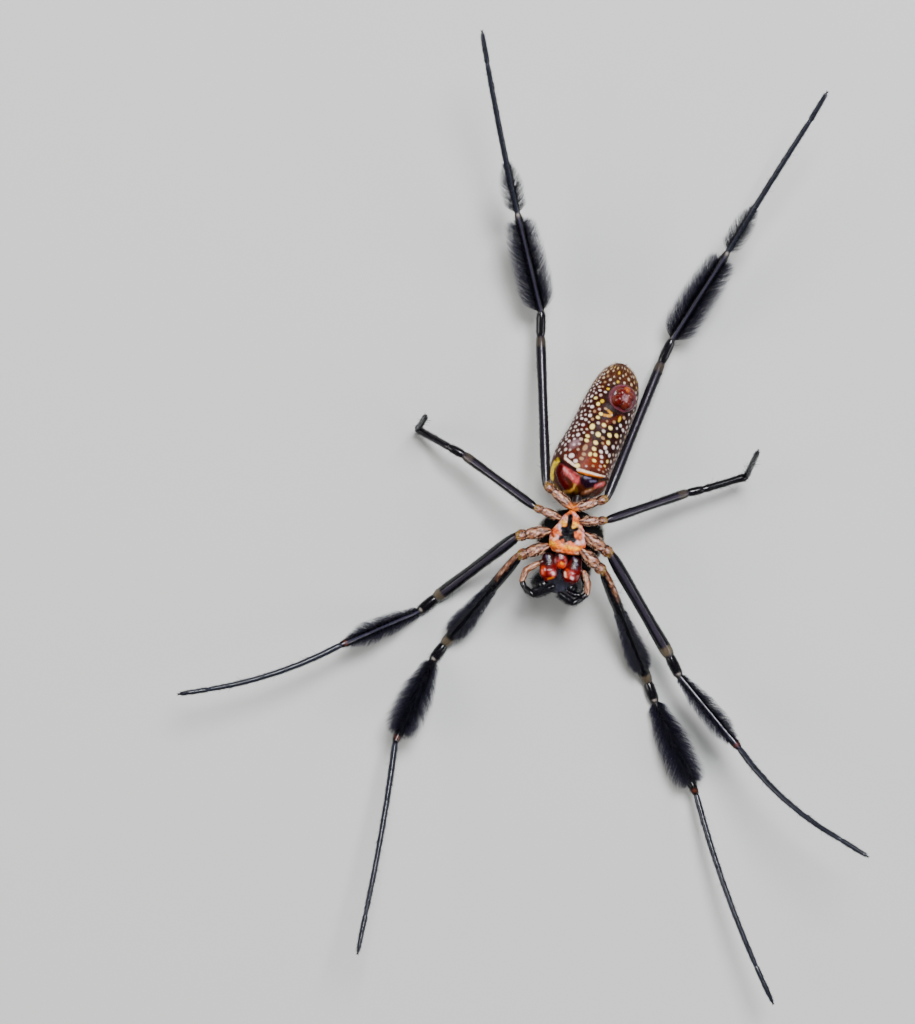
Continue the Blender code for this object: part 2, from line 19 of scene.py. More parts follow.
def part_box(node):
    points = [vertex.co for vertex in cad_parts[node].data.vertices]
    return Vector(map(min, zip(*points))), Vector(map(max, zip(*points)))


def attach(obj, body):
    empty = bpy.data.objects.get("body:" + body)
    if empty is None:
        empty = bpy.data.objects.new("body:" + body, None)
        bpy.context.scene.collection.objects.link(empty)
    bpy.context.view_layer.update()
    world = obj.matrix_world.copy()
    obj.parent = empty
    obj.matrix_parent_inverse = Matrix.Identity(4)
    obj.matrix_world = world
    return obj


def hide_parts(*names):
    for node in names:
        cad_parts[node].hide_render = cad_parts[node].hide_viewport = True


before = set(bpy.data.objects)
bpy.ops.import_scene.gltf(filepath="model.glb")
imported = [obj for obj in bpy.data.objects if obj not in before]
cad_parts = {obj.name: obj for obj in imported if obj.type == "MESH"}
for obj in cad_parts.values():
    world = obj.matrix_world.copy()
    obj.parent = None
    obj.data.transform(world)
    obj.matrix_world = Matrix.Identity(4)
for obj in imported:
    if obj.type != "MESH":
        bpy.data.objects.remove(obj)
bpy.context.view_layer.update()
MM = 0.001
print("solids:", len(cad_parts))

# %% [markdown]
# ## The sizes that everything follows
#
# A spider's leg is a chain of stiff tubes: coxa, femur, patella, tibia, metatarsus and tarsus. The
# short trochanter is the last third of the coxa here. The lengths and the bends are the ones of
# the solids, so every hair and every shine lands where the solid is. A heading turns from +X
# towards +Y, and a pitch rises from the floor towards the belly side, +Z.

# %% Leg lengths, half widths and poses
MIDDLE_X = 6.76
MIDDLE_Y = -1.14
COXA_HEIGHT = 8.0
BODY_HEADING = 262.0
LEG_LENGTHS = {
    1: {"coxa": 3.05, "femur": 15.2, "patella": 2.35, "tibia": 11.05, "metatarsus": 19.8, "tarsus": 4.3},
    2: {"coxa": 3.2, "femur": 13.2, "patella": 2.5, "tibia": 10.2, "metatarsus": 15.3, "tarsus": 3.2},
    3: {"coxa": 2.7, "femur": 10.1, "patella": 1.9, "tibia": 5.1, "metatarsus": 6.2, "tarsus": 2.3},
    4: {"coxa": 3.55, "femur": 17.0, "patella": 2.75, "tibia": 11.4, "metatarsus": 17.0, "tarsus": 3.4},
}
LEG_SHARES = {"left_1": 0.965, "left_4": 0.985}
LEG_RADII = {
    1: {"coxa": 0.7, "femur": 0.66, "patella": 0.6, "tibia": 0.44, "metatarsus": 0.32, "tarsus": 0.27},
    2: {"coxa": 0.7, "femur": 0.71, "patella": 0.6, "tibia": 0.44, "metatarsus": 0.32, "tarsus": 0.27},
    3: {"coxa": 0.52, "femur": 0.53, "patella": 0.48, "tibia": 0.42, "metatarsus": 0.3, "tarsus": 0.26},
    4: {"coxa": 0.56, "femur": 0.56, "patella": 0.54, "tibia": 0.42, "metatarsus": 0.32, "tarsus": 0.27},
}
LEG_POSES = {
    "left_1": {
        "socket": (9.45, -3.76), "coxa": (198.9, -5.0), "femur": (230.7, -29.4), "patella": (233.8, 2.0),
        "tibia": (244.9, 27.0), "metatarsus": ((262.5, 258.2), (19.0, 12.0)), "tarsus": (258.6, 15.0),
    },
    "right_1": {
        "socket": (13.63, -4.34), "coxa": (315.8, -5.0), "femur": (293.0, -28.2), "patella": (289.4, 2.0),
        "tibia": (293.9, 8.5), "metatarsus": ((284.7, 292.7), (13.0, 8.0)), "tarsus": (294.3, 9.0),
    },
    "left_2": {
        "socket": (9.61, -2.08), "coxa": (189.1, -5.0), "femur": (217.9, -32.9), "patella": (219.1, 2.0),
        "tibia": (202.6, 26.4), "metatarsus": ((206.4, 190.4), (12.0, 7.0)), "tarsus": (188.4, 12.0),
    },
    "right_2": {
        "socket": (14.04, -2.61), "coxa": (322.8, -5.0), "femur": (300.5, -12.8), "patella": (296.0, -2.0),
        "tibia": (309.4, 11.6), "metatarsus": ((306.2, 329.2), (26.0, 20.0)), "tarsus": (328.4, 17.0),
    },
    "left_3": {
        "socket": (10.9, -0.55), "coxa": (157.0, -5.0), "femur": (143.4, -19.2), "patella": (151.1, -8.0),
        "tibia": (150.0, -36.3), "metatarsus": ((49.5, 49.5), (74.0, 82.5)), "tarsus": (41.8, 83.7),
    },
    "right_3": {
        "socket": (13.43, -1.0), "coxa": (1.7, -5.0), "femur": (18.4, -20.2), "patella": (12.6, -8.0),
        "tibia": (16.3, -11.9), "metatarsus": ((81.0, 81.0), (70.0, 77.0)), "tarsus": (76.7, 68.0),
    },
    "left_4": {
        "socket": (12.18, 0.65), "coxa": (138.4, -5.0), "femur": (91.6, -14.1), "patella": (89.1, 5.0),
        "tibia": (104.2, 17.1), "metatarsus": ((103.4, 100.9), (21.0, 16.0)), "tarsus": (99.8, 14.0),
    },
    "right_4": {
        "socket": (12.77, 0.43), "coxa": (16.4, -5.0), "femur": (67.4, -17.6), "patella": (64.9, 5.0),
        "tibia": (58.1, 15.0), "metatarsus": ((59.5, 57.5), (22.5, 18.0)), "tarsus": (59.8, 15.0),
    },
}
LEG_PIECES = ("coxa", "femur", "patella", "tibia", "metatarsus", "tarsus")

# %% [markdown]
# ## Walking along a bent line
#
# Every tube and every hair needs to know where the middle of its leg runs, which way is along,
# and which way is sideways. We walk the chain once and answer for many distances at a time with
# numpy, which is far quicker than asking for one point after another.

# %% Directions, chains and frames
EASE_REACH = 0.5
BEND_STEPS = 6


def mix(first, second, share):
    """A blend of two values or rows of values."""
    return first + (second - first) * share


def unit(ways):
    """The same ways, each 1 long."""
    return ways / np.linalg.norm(ways, axis=-1, keepdims=True)


def lying(way, out):
    """The part of a way that lies flat on the skin, where out is the way off it."""
    return unit(way - out * np.sum(way * out, axis=-1, keepdims=True))


def around(side, up, turn, wide=1.0, tall=1.0):
    """The ways out from a chain at many turns, stretched to a width and a height."""
    return side * (wide * np.cos(turn))[:, None] + up * (tall * np.sin(turn))[:, None]


def place(x, y, z):
    """A point of the model, shifted so that the spread legs are centred on the origin."""
    return np.array((x - MIDDLE_X, y - MIDDLE_Y, z))


def directions(headings, pitches):
    """Unit vectors along many headings and pitches, in degrees."""
    turn = np.radians(headings)
    rise = np.radians(pitches)
    return np.stack((np.cos(rise) * np.cos(turn), np.cos(rise) * np.sin(turn), np.sin(rise)), axis=-1)


def walk(start, runs):
    """Chain straight runs of (heading, pitch, length) end to end, and return the end point too."""
    chain = []
    point = np.array(start, float)
    for heading, pitch, length in runs:
        chain.append((point, heading, pitch, length))
        point = point + directions(heading, pitch) * length
    return chain, point


def frames_on(chain, distances):
    """The centres of a chain at many distances, with the vectors to the right, above and along."""
    distances = np.asarray(distances, float)
    ends = np.cumsum([run[3] for run in chain])
    starts = ends - [run[3] for run in chain]
    index = np.clip(np.searchsorted(ends, distances), 0, len(chain) - 1)
    points = np.array([run[0] for run in chain])
    lines = directions([run[1] for run in chain], [run[2] for run in chain])
    centre = points[index] + lines[index] * (distances - starts[index])[..., None]
    knots, headings, pitches = [], [], []
    for number, (_, heading, pitch, length) in enumerate(chain):
        reach = min(EASE_REACH, 0.5 * length)
        knots.append(starts[number] + (reach if number else 0.0))
        knots.append(ends[number] - (reach if number < len(chain) - 1 else 0.0))
        headings += [heading, heading]
        pitches += [pitch, pitch]
    heading = np.interp(distances, knots, headings)
    forward = directions(heading, np.interp(distances, knots, pitches))
    side = np.stack((np.sin(np.radians(heading)), -np.cos(np.radians(heading)), 0.0 * heading), axis=-1)
    return centre, side, np.cross(side, forward), forward


def bend_runs(bend, length):
    """Short runs whose heading and pitch change evenly from one end of a piece to the other."""
    (heading_in, heading_out), (pitch_in, pitch_out) = bend
    shares = [step / (BEND_STEPS - 1) for step in range(BEND_STEPS)]
    part = length / BEND_STEPS
    return [(mix(heading_in, heading_out, s), mix(pitch_in, pitch_out, s), part) for s in shares]


# %% The eight legs as chains
def chain_leg(name):
    """Every piece of one leg with its chain, its length and how far down the leg it starts."""
    pair = int(name[-1])
    pose = LEG_POSES[name]
    point = place(*pose["socket"], COXA_HEIGHT)
    travelled = 0.0
    pieces = {}
    for piece in LEG_PIECES:
        length = LEG_LENGTHS[pair][piece] * LEG_SHARES.get(name, 1.0)
        runs = bend_runs(pose[piece], length) if piece == "metatarsus" else [(*pose[piece], length)]
        chain, point = walk(point, runs)
        radius = LEG_RADII[pair][piece]
        pieces[piece] = {"chain": chain, "length": length, "before": travelled, "radius": radius}
        travelled += length
    return {"name": name, "pair": pair, "side": name[:-2], "pieces": pieces, "length": travelled}


LEGS = [chain_leg(f"{side}_{pair}") for side in ("left", "right") for pair in (1, 2, 3, 4)]
print("leg lengths in mm:", {leg["name"]: round(leg["length"], 1) for leg in LEGS})

# %% [markdown]
# ## Camera, floor and light
#
# The spider in the photo is seen flat on, belly first. With the model on the floor the camera
# hangs straight above it. The distance is that of a close view, so that nearer feet look only a
# little larger, and the view is as tall as the picture at 9.2 of its pixels to the millimetre.

# %% The camera
PICTURE_HEIGHT = 1024
PIXELS_PER_MM = 9.2
FOCUS_HEIGHT = 6.6
CAMERA_DISTANCE = 330.0
SENSOR = 24.0


def put_in_scene(name, data):
    """Make an object of some data and link it to the scene."""
    thing = bpy.data.objects.new(name, data)
    bpy.context.scene.collection.objects.link(thing)
    return thing


def mesh_data(name, mesh):
    """Turn a bmesh into mesh data, and free it."""
    data = bpy.data.meshes.new(name)
    mesh.to_mesh(data)
    mesh.free()
    return data


camera_data = bpy.data.cameras.new("camera")
camera_data.sensor_fit = "VERTICAL"
camera_data.sensor_height = SENSOR
camera_data.angle_y = 2.0 * math.atan(0.5 * PICTURE_HEIGHT / PIXELS_PER_MM / CAMERA_DISTANCE)
camera_data.clip_start = 0.01
camera = put_in_scene("camera", camera_data)
camera.location = (-MIDDLE_X * MM, -MIDDLE_Y * MM, (FOCUS_HEIGHT + CAMERA_DISTANCE) * MM)
bpy.context.scene.camera = camera
print("view height in degrees:", round(math.degrees(camera_data.angle_y), 2))

# %% [markdown]
# Black, glossy legs show mostly what they reflect. A bright, cool light from above and behind
# draws the crisp pale lines down the legs, and two dimmer lights at the sides round them off. The
# surroundings stay dim, or the black would turn grey. The floor is plain and pale, with a faint
# grain in its roughness. Two helpers for materials start here: one makes an empty material, and
# the other adds a node with its settings and socket values.

# %% Floor and lights
FLOOR_SIZE = 4.0
FLOOR_COLOUR = (0.5, 0.5, 0.48)
FLOOR_ROUGHNESS = 0.7
FLOOR_GRAIN = 60.0


def new_material(name):
    """An empty material, with its nodes, its links and its shader."""
    material = bpy.data.materials.new(name)
    material.use_nodes = True
    nodes = material.node_tree.nodes
    return material, nodes, material.node_tree.links, nodes["Principled BSDF"]


def add_node(nodes, kind, sockets=None, **settings):
    """Add a shader node, give it its settings, and then fill sockets by name or number."""
    node = nodes.new(f"ShaderNode{kind}")
    for name, value in settings.items():
        setattr(node, name, value)
    for name, value in (sockets or {}).items():
        node.inputs[name].default_value = value
    return node


def floor_material():
    """A material of one pale colour with a faint grain in its roughness."""
    material, nodes, links, shader = new_material("pale_floor")
    shader.inputs["Base Color"].default_value = (*FLOOR_COLOUR, 1.0)
    place_of = add_node(nodes, "TexCoord")
    grain = add_node(nodes, "TexNoise", {"Scale": FLOOR_GRAIN})
    spread = add_node(nodes, "MapRange", {"To Min": FLOOR_ROUGHNESS - 0.05, "To Max": FLOOR_ROUGHNESS + 0.05})
    links.new(place_of.outputs["Object"], grain.inputs["Vector"])
    links.new(grain.outputs["Fac"], spread.inputs["Value"])
    links.new(spread.outputs["Result"], shader.inputs["Roughness"])
    return material


ground = bmesh.new()
bmesh.ops.create_grid(ground, x_segments=1, y_segments=1, size=0.5 * FLOOR_SIZE)
ground_data = mesh_data("floor", ground)
ground_data.materials.append(floor_material())
floor = put_in_scene("floor", ground_data)


def soft_light(name, spot, size, power, colour):
    """A square softbox that looks at the middle of the spider."""
    data = bpy.data.lights.new(name, "AREA")
    data.size = size
    data.energy = power
    data.color = colour
    lamp = put_in_scene(name, data)
    lamp.location = spot
    lamp.rotation_euler = (-Vector(spot)).to_track_quat("-Z", "Y").to_euler()


# Place and size in metres, power in watts, and colour
soft_light("high_light", (0.12, 0.3, 0.68), 0.27, 11.0, (0.95, 0.97, 1.0))
soft_light("left_fill", (-0.62, 0.0, 0.42), 0.4, 3.2, (1.0, 0.98, 0.95))
soft_light("right_fill", (0.66, -0.2, 0.36), 0.4, 2.6, (0.97, 0.98, 1.0))
world = bpy.data.worlds.new("studio")
world.use_nodes = True
surroundings = world.node_tree.nodes["Background"]
surroundings.inputs["Color"].default_value = (0.9, 0.94, 1.0, 1.0)
surroundings.inputs["Strength"].default_value = 0.16
bpy.context.scene.world = world

# %% [markdown]
# ## Colour that follows the animal
#
# A spider's markings sit on its body and not in space, so they are painted on the mesh: each
# point carries a tint, a roughness, and how mottled and bumpy it is. The material reads these
# attributes and adds the fine grain by noise. Colours are written as they look on a screen, from 0
# to 255, and turned into the linear values that the shader wants.

# %% Colours of the spider
def colour(red, green, blue):
    """A screen colour from 0 to 255 as linear light."""
    return tuple((value / 255.0) ** 2.2 for value in (red, green, blue))


BLACK = colour(14, 13, 17)
LEG_DARK = colour(20, 18, 22)
SLATE = colour(38, 39, 48)
HAIR_BLACK = colour(20, 19, 28)
TAN = colour(144, 88, 58)
CREAM = colour(230, 182, 152)
BROWN = colour(62, 28, 14)
GLASS_BROWN = colour(84, 74, 60)
MAROON_BLACK = colour(30, 12, 14)
OLIVE = colour(112, 84, 14)
# Pale joint skin, which at the knees is partly a painted highlight
MEMBRANE_AND_HIGHLIGHT = colour(208, 194, 182)
PEACH = colour(226, 112, 64)
# A lilac painted highlight, for wet glints on coxae, humps, lip, cones and belly
PAINTED_HIGHLIGHT_LILAC = colour(222, 184, 196)
ORANGE = colour(244, 122, 6)
GOLD = colour(255, 182, 44)
MARK = colour(12, 8, 16)
LIP_ORANGE = colour(226, 70, 6)
KNEE_ORANGE = colour(108, 58, 42)
LIP_RED = colour(92, 6, 4)
# A pink painted highlight round the white glints of the mouth parts
PAINTED_HIGHLIGHT_PINK = colour(196, 74, 78)
MAROON = colour(38, 5, 2)
MAUVE = colour(64, 30, 24)
RUST = colour(120, 42, 3)
REAR_TAN = colour(74, 42, 26)
BACK_GOLD = colour(140, 98, 44)
SPOT_CREAM = colour(242, 214, 122)
SPOT_WHITE = colour(214, 200, 196)
SPOT_YELLOW = colour(196, 156, 26)
SPOT_DULL = colour(150, 116, 82)
LUNG_RED = colour(70, 7, 2)
FURROW_CREAM = colour(250, 226, 200)
PINK = colour(192, 78, 80)
PURPLE = colour(30, 12, 26)
# Painted sheen: pale lines and patches that stand in for highlights on legs, mouth and egg plate
PAINTED_SHEEN_BLUE = colour(112, 108, 140)
PAINTED_SHEEN_GREY = colour(122, 108, 132)
YELLOW = colour(226, 190, 8)
FOLD_TAN = colour(196, 140, 60)
HOOK_YELLOW = colour(206, 138, 12)
SPINNERET_RED = colour(86, 12, 4)
SPINNERET_RING = colour(98, 52, 62)
SPINNERET_KNOB = colour(170, 84, 32)
SILVER = colour(205, 202, 194)
# A white painted highlight, the bright core of a wet glint
PAINTED_HIGHLIGHT_WHITE = colour(250, 214, 214)
CARAPACE_DARK = colour(24, 17, 15)
# Painted shade for the carapace's belly side, between the leg roots
CARAPACE_PAINTED_SHADE = colour(8, 6, 7)
EYE_DARK = colour(14, 10, 10)
EYE_RIM = colour(96, 70, 40)
FRINGE_GREY = colour(34, 34, 42)
DOWN_PALE = colour(170, 130, 100)

# A paint row holds a tint in columns 0 to 2, and these in the next four
ROUGH, MOTTLE, BUMP, SOFT = 3, 4, 5, 6


def coated(count, tint, rough, mottle, bump=0.5, soft=0.0):
    """Paint rows of one tint, roughness, mottling, bumpiness and softness, a row for each point."""
    return np.tile(np.array((*tint, rough, mottle, bump, soft)), (count, 1))


def brushed(rows, tint, weight):
    """Lay a tint over paint rows, by a weight for each point."""
    rows[:, :3] = mix(rows[:, :3], np.array(tint), np.clip(weight, 0.0, 1.0)[:, None])


def hill(value, middle, spread):
    """1 at the middle and falling away on both sides."""
    return np.exp(-(((value - middle) / spread) ** 2))


def ramp(value, start, end):
    """0 before the start, 1 after the end and smooth between them."""
    share = np.clip((value - start) / (end - start), 0.0, 1.0)
    return share * share * (3.0 - 2.0 * share)


def wobble(first, second, scale):
    """An uneven wave between -1 and 1 over a sheet, for edges and blotches that nature left uneven."""
    wave = np.sin(first * scale + 1.7 * np.sin(0.8 * second * scale))
    return 0.5 * wave + 0.5 * np.sin(1.3 * second * scale + 2.1 * np.sin(0.6 * first * scale) + 1.0)


def line_gap(first, second, points):
    """How far each place on a sheet is from a line through a few points."""
    sheet = np.stack((first, second), axis=-1)
    nearest = np.full(len(sheet), np.inf)
    ends = np.asarray(points if len(points) > 1 else points * 2, float)
    for start, end in zip(ends[:-1], ends[1:]):
        step = end - start
        share = np.clip((sheet - start) @ step / max(step @ step, 1e-9), 0.0, 1.0)
        nearest = np.minimum(nearest, np.linalg.norm(sheet - start - share[:, None] * step, axis=1))
    return nearest


def draw_marks(rows, first, second, marks, seen):
    """Brush marks on paint rows. A mark has its tint, weight, half width, softness and points."""
    for tint, weight, half, soft, points in marks:
        gap = line_gap(first, second, points) + 0.25 * soft * wobble(first, second, 9.0)
        brushed(rows, tint, seen * weight * (1.0 - ramp(gap, half - soft, half + soft)))


# %% The cuticle material
GRAIN_SCALE = 5200.0
GRAIN_ROUGHNESS = 0.14
MOTTLE_SCALE = 2600.0
MOTTLE_EDGES = {"From Min": 0.44, "From Max": 0.62}
MOTTLE_TINT = (0.2, 0.11, 0.09, 1.0)
BUMP_REACH = 0.00004


def paint_nodes(nodes, links):
    """Read the tint, and the roughness, mottling and bumpiness, that each point is painted with."""
    tint = add_node(nodes, "Attribute", attribute_name="tint")
    finish = add_node(nodes, "Attribute", attribute_name="finish")
    split = add_node(nodes, "SeparateXYZ")
    links.new(finish.outputs["Vector"], split.inputs["Vector"])
    return tint.outputs["Color"], split.outputs["X"], split.outputs["Y"], split.outputs["Z"]


def cuticle_material(name, gloss, coat_weight):
    """Horny skin: a painted tint, blotches where the paint says so, and a fine leathery grain."""
    material, nodes, links, shader = new_material(name)
    shader.inputs["Specular IOR Level"].default_value = gloss
    shader.inputs["Coat Weight"].default_value = coat_weight
    shader.inputs["Coat Roughness"].default_value = 0.18
    place_of = add_node(nodes, "TexCoord")
    tint, rough, mottled, bumpy = paint_nodes(nodes, links)

    blotches = add_node(nodes, "TexNoise", {"Scale": MOTTLE_SCALE, "Detail": 5.0, "Roughness": 0.65})
    patch = add_node(nodes, "MapRange", MOTTLE_EDGES)
    amount = add_node(nodes, "Math", operation="MULTIPLY")
    darker = add_node(nodes, "Mix", {"B": MOTTLE_TINT}, data_type="RGBA", blend_type="MULTIPLY")
    links.new(place_of.outputs["Object"], blotches.inputs["Vector"])
    links.new(blotches.outputs["Fac"], patch.inputs["Value"])
    links.new(patch.outputs["Result"], amount.inputs[0])
    links.new(mottled, amount.inputs[1])
    links.new(amount.outputs["Value"], darker.inputs["Factor"])
    links.new(tint, darker.inputs["A"])
    links.new(darker.outputs["Result"], shader.inputs["Base Color"])

    grain = add_node(nodes, "TexNoise", {"Scale": GRAIN_SCALE, "Detail": 3.0})
    rougher = add_node(nodes, "Math", {1: GRAIN_ROUGHNESS}, operation="MULTIPLY_ADD")
    height = add_node(nodes, "Math", operation="MULTIPLY")
    bump = add_node(nodes, "Bump", {"Strength": 0.6, "Distance": BUMP_REACH})
    links.new(place_of.outputs["Object"], grain.inputs["Vector"])
    links.new(grain.outputs["Fac"], rougher.inputs[0])
    links.new(rough, rougher.inputs[2])
    links.new(rougher.outputs["Value"], shader.inputs["Roughness"])
    links.new(grain.outputs["Fac"], height.inputs[0])
    links.new(bumpy, height.inputs[1])
    links.new(height.outputs["Value"], bump.inputs["Height"])
    links.new(bump.outputs["Normal"], shader.inputs["Normal"])
    return material


CUTICLE = cuticle_material("painted_cuticle", 0.3, 0.06)
SOFT_SKIN = cuticle_material("soft_body_skin", 0.1, 0.0)
JAW_CUTICLE = cuticle_material("polished_jaw_cuticle", 0.2, 0.12)

# %% [markdown]
# ## A tube rolled up from a flat grid
#
# Legs, abdomen and head are all closed tubes whose width changes along the way. The quickest
# clean way to make one is a flat grid, rolled up so that its two long edges meet and its two
# short ends close to a point. Merging the doubled points then leaves a closed skin. A number on
# each point remembers where on the grid it came from, which the paint needs.

# %% The rolled tube
WELD = 0.00002
DOME_RINGS = 5


def soft_curve(value, knots, heights):
    """A smooth curve through a few knots that never swings past them."""
    knots, heights = np.asarray(knots, float), np.asarray(heights, float)
    gaps = np.diff(knots)
    slopes = np.diff(heights) / gaps
    tangents = np.zeros(len(knots))
    alike = slopes[:-1] * slopes[1:] > 0.0
    inner = np.zeros(len(slopes) - 1)
    inner[alike] = 2.0 / (1.0 / slopes[:-1][alike] + 1.0 / slopes[1:][alike])
    tangents[1:-1] = inner
    value = np.clip(value, knots[0], knots[-1])
    index = np.clip(np.searchsorted(knots, value) - 1, 0, len(gaps) - 1)
    share = (value - knots[index]) / gaps[index]
    low, high = heights[index], heights[index + 1]
    lean_in, lean_out = tangents[index] * gaps[index], tangents[index + 1] * gaps[index]
    cubed, squared = share**3, share**2
    return ((2 * cubed - 3 * squared + 1) * low + (cubed - 2 * squared + share) * lean_in
            + (3 * squared - 2 * cubed) * high + (cubed - squared) * lean_out)


def ring_run(start, end, spacing, near_cap, far_cap):
    """Distances of the rings from one domed end to the other, and how full each ring is."""
    turn = np.linspace(0.0, 0.5 * math.pi, DOME_RINGS)
    count = max(2, round((end - start) / spacing))
    middle = np.linspace(start, end, count + 1)[1:-1]
    near = start - near_cap * np.cos(turn)
    far = end + far_cap * np.sin(turn)
    fullness = np.concatenate((np.sin(turn), np.ones(len(middle)), np.cos(turn)))
    return np.concatenate((near, middle, far)), fullness


def rolled_tube(chain, distances, across, below, above, sides, lift=None, relief=None):
    """A closed tube round a chain. Returns its mesh with each point's distance and turn.

    The turn starts on the right and passes the belly side at a quarter. Relief is how far the
    surface stands out at a distance and turn.
    """
    centre, side, up, _ = frames_on(chain, distances)
    if lift is not None:
        centre[:, 2] = lift
    rings = len(distances) - 1
    mesh = bmesh.new()
    bmesh.ops.create_grid(mesh, x_segments=rings, y_segments=sides, size=0.5)
    flat = np.array([vert.co[:2] for vert in mesh.verts]) + 0.5
    ring = np.rint(flat[:, 0] * rings).astype(int)
    turn = 2.0 * math.pi * flat[:, 1]
    reach = np.where(np.sin(turn) > 0.0, above[ring], below[ring])
    spots = centre[ring] + around(side[ring], up[ring], turn, across[ring], reach)
    if relief is not None:
        inner = (ring > 0) & (ring < rings)
        spots += around(side[ring], up[ring], turn) * (inner * relief(distances[ring], turn))[:, None]
    tag = mesh.verts.layers.int.new("tag")
    for number, (vert, spot) in enumerate(zip(mesh.verts, spots)):
        vert.co = spot
        vert[tag] = number
    bmesh.ops.remove_doubles(mesh, verts=mesh.verts, dist=WELD)
    bmesh.ops.recalc_face_normals(mesh, faces=mesh.faces)
    mesh.verts.index_update()
    numbers = [vert[tag] for vert in mesh.verts]
    mesh.verts.layers.int.remove(tag)
    return mesh, distances[ring[numbers]], turn[numbers]


def round_tube(chain, run, width_at, sides):
    """A closed round tube, from its ring run and a function that gives its half widths."""
    distances, fullness = ring_run(*run)
    width = fullness * width_at(distances)
    return rolled_tube(chain, distances, width, width, width, sides)


# %% [markdown]
# Parts that will grow together are kept in one list with their paint until the union is made.

# %% Keeping the parts of the skin
flesh = []


def keep(mesh, paint):
    """Keep a closed part and its paint rows for the union, clear of the floor."""
    for vert in mesh.verts:
        vert.co.z = max(vert.co.z, 0.0)
    flesh.append((mesh, paint))


# %% [markdown]
# ## The legs
#
# Each leg piece is its own tube with domed ends that slip into its neighbours, as the real
# tubes do at a joint, and a small dark ball of soft skin fills each joint. Sharp bends stay clean
# this way, where one long tube would crease. The femur is broad and a little waisted, the patella
# a short bulb, the tibia an even rod, and the last two pieces are thin.

# %% Shapes of the leg pieces
# Share of the length, and share of the half width there
LEG_SHAPES = {
    "coxa": (
        (0.0, 0.72), (0.12, 0.95), (0.4, 1.0), (0.62, 0.86),
        (0.69, 0.74), (0.76, 0.92), (0.9, 0.95), (1.0, 0.7),
    ),
    "femur": (
        (0.0, 0.66), (0.04, 0.84), (0.2, 0.97), (0.45, 0.9), (0.62, 0.9),
        (0.78, 0.97), (0.9, 1.0), (0.97, 0.97), (1.0, 0.84),
    ),
    "patella": ((0.0, 0.74), (0.1, 0.9), (0.4, 1.0), (0.8, 0.95), (0.94, 0.84), (1.0, 0.74)),
    "tibia": (
        (0.0, 0.9), (0.05, 1.0), (0.2, 0.96), (0.4, 0.94),
        (0.6, 0.94), (0.8, 1.0), (0.93, 1.12), (1.0, 0.86),
    ),
    "metatarsus": (
        (0.0, 0.84), (0.02, 1.05), (0.12, 1.02), (0.25, 1.0), (0.4, 0.94), (0.8, 0.86), (1.0, 0.8),
    ),
    "tarsus": ((0.0, 0.8), (0.05, 1.0), (0.4, 0.96), (0.75, 0.86), (0.94, 0.7), (1.0, 0.5)),
}
LEG_SPACING = {"coxa": 0.14, "femur": 0.34, "patella": 0.2, "tibia": 0.34, "metatarsus": 0.36, "tarsus": 0.3}
LEG_SIDES = {"coxa": 26, "femur": 22, "patella": 20, "tibia": 16, "metatarsus": 14, "tarsus": 14}
CAP_SHARE = 0.55
BELLY_TURN = 0.5 * math.pi


def leg_width(piece, data, distance):
    """The half width of a leg piece at a distance from its start."""
    shares, sizes = zip(*LEG_SHAPES[piece])
    return data["radius"] * soft_curve(distance / data["length"], shares, sizes)


# %% Paint of the leg pieces
STRIPE_TURN = {"left": math.radians(52.0), "right": math.radians(128.0)}


def paint_coxa(share, turn):
    """Tan with cream above that is partly a painted highlight, a lilac painted highlight on top, painted
    shade at the sides, uneven brown blotches and an olive far end.
    """
    top = np.sin(turn) + 0.18 * wobble(6.0 * share, 2.0 * turn, 2.6)
    rows = coated(len(share), TAN, 0.2, 0.7, 2.6)
    # Cream on top is partly the coxa's pale colour and partly a painted highlight; lilac on top is a painted
    # highlight
    brushed(rows, CREAM, 0.9 * ramp(top, 0.6, 0.98) * ramp(wobble(9.0 * share, 2.4 * turn, 2.3), -0.3, 0.45))
    brushed(rows, PAINTED_HIGHLIGHT_LILAC, 0.9 * ramp(top, 0.86, 1.0) * ramp(wobble(11.0 * share, 3.0 * turn, 2.9), 0.2, 0.5))
    brushed(rows, BROWN, 0.95 * ramp(wobble(5.0 * share, 3.0 * turn, 2.1), 0.1, 0.45))
    # Painted shade: the sides turn nearly black
    brushed(rows, MAROON_BLACK, 1.0 - ramp(top, 0.48, 0.88))
    brushed(rows, MAROON_BLACK, 0.9 * hill(share, 0.69, 0.035))
    brushed(rows, OLIVE, 0.9 * ramp(share, 0.86, 0.93) * ramp(top, 0.3, 0.6))
    rows[:, MOTTLE] *= ramp(top, 0.1, 0.7)
    return rows


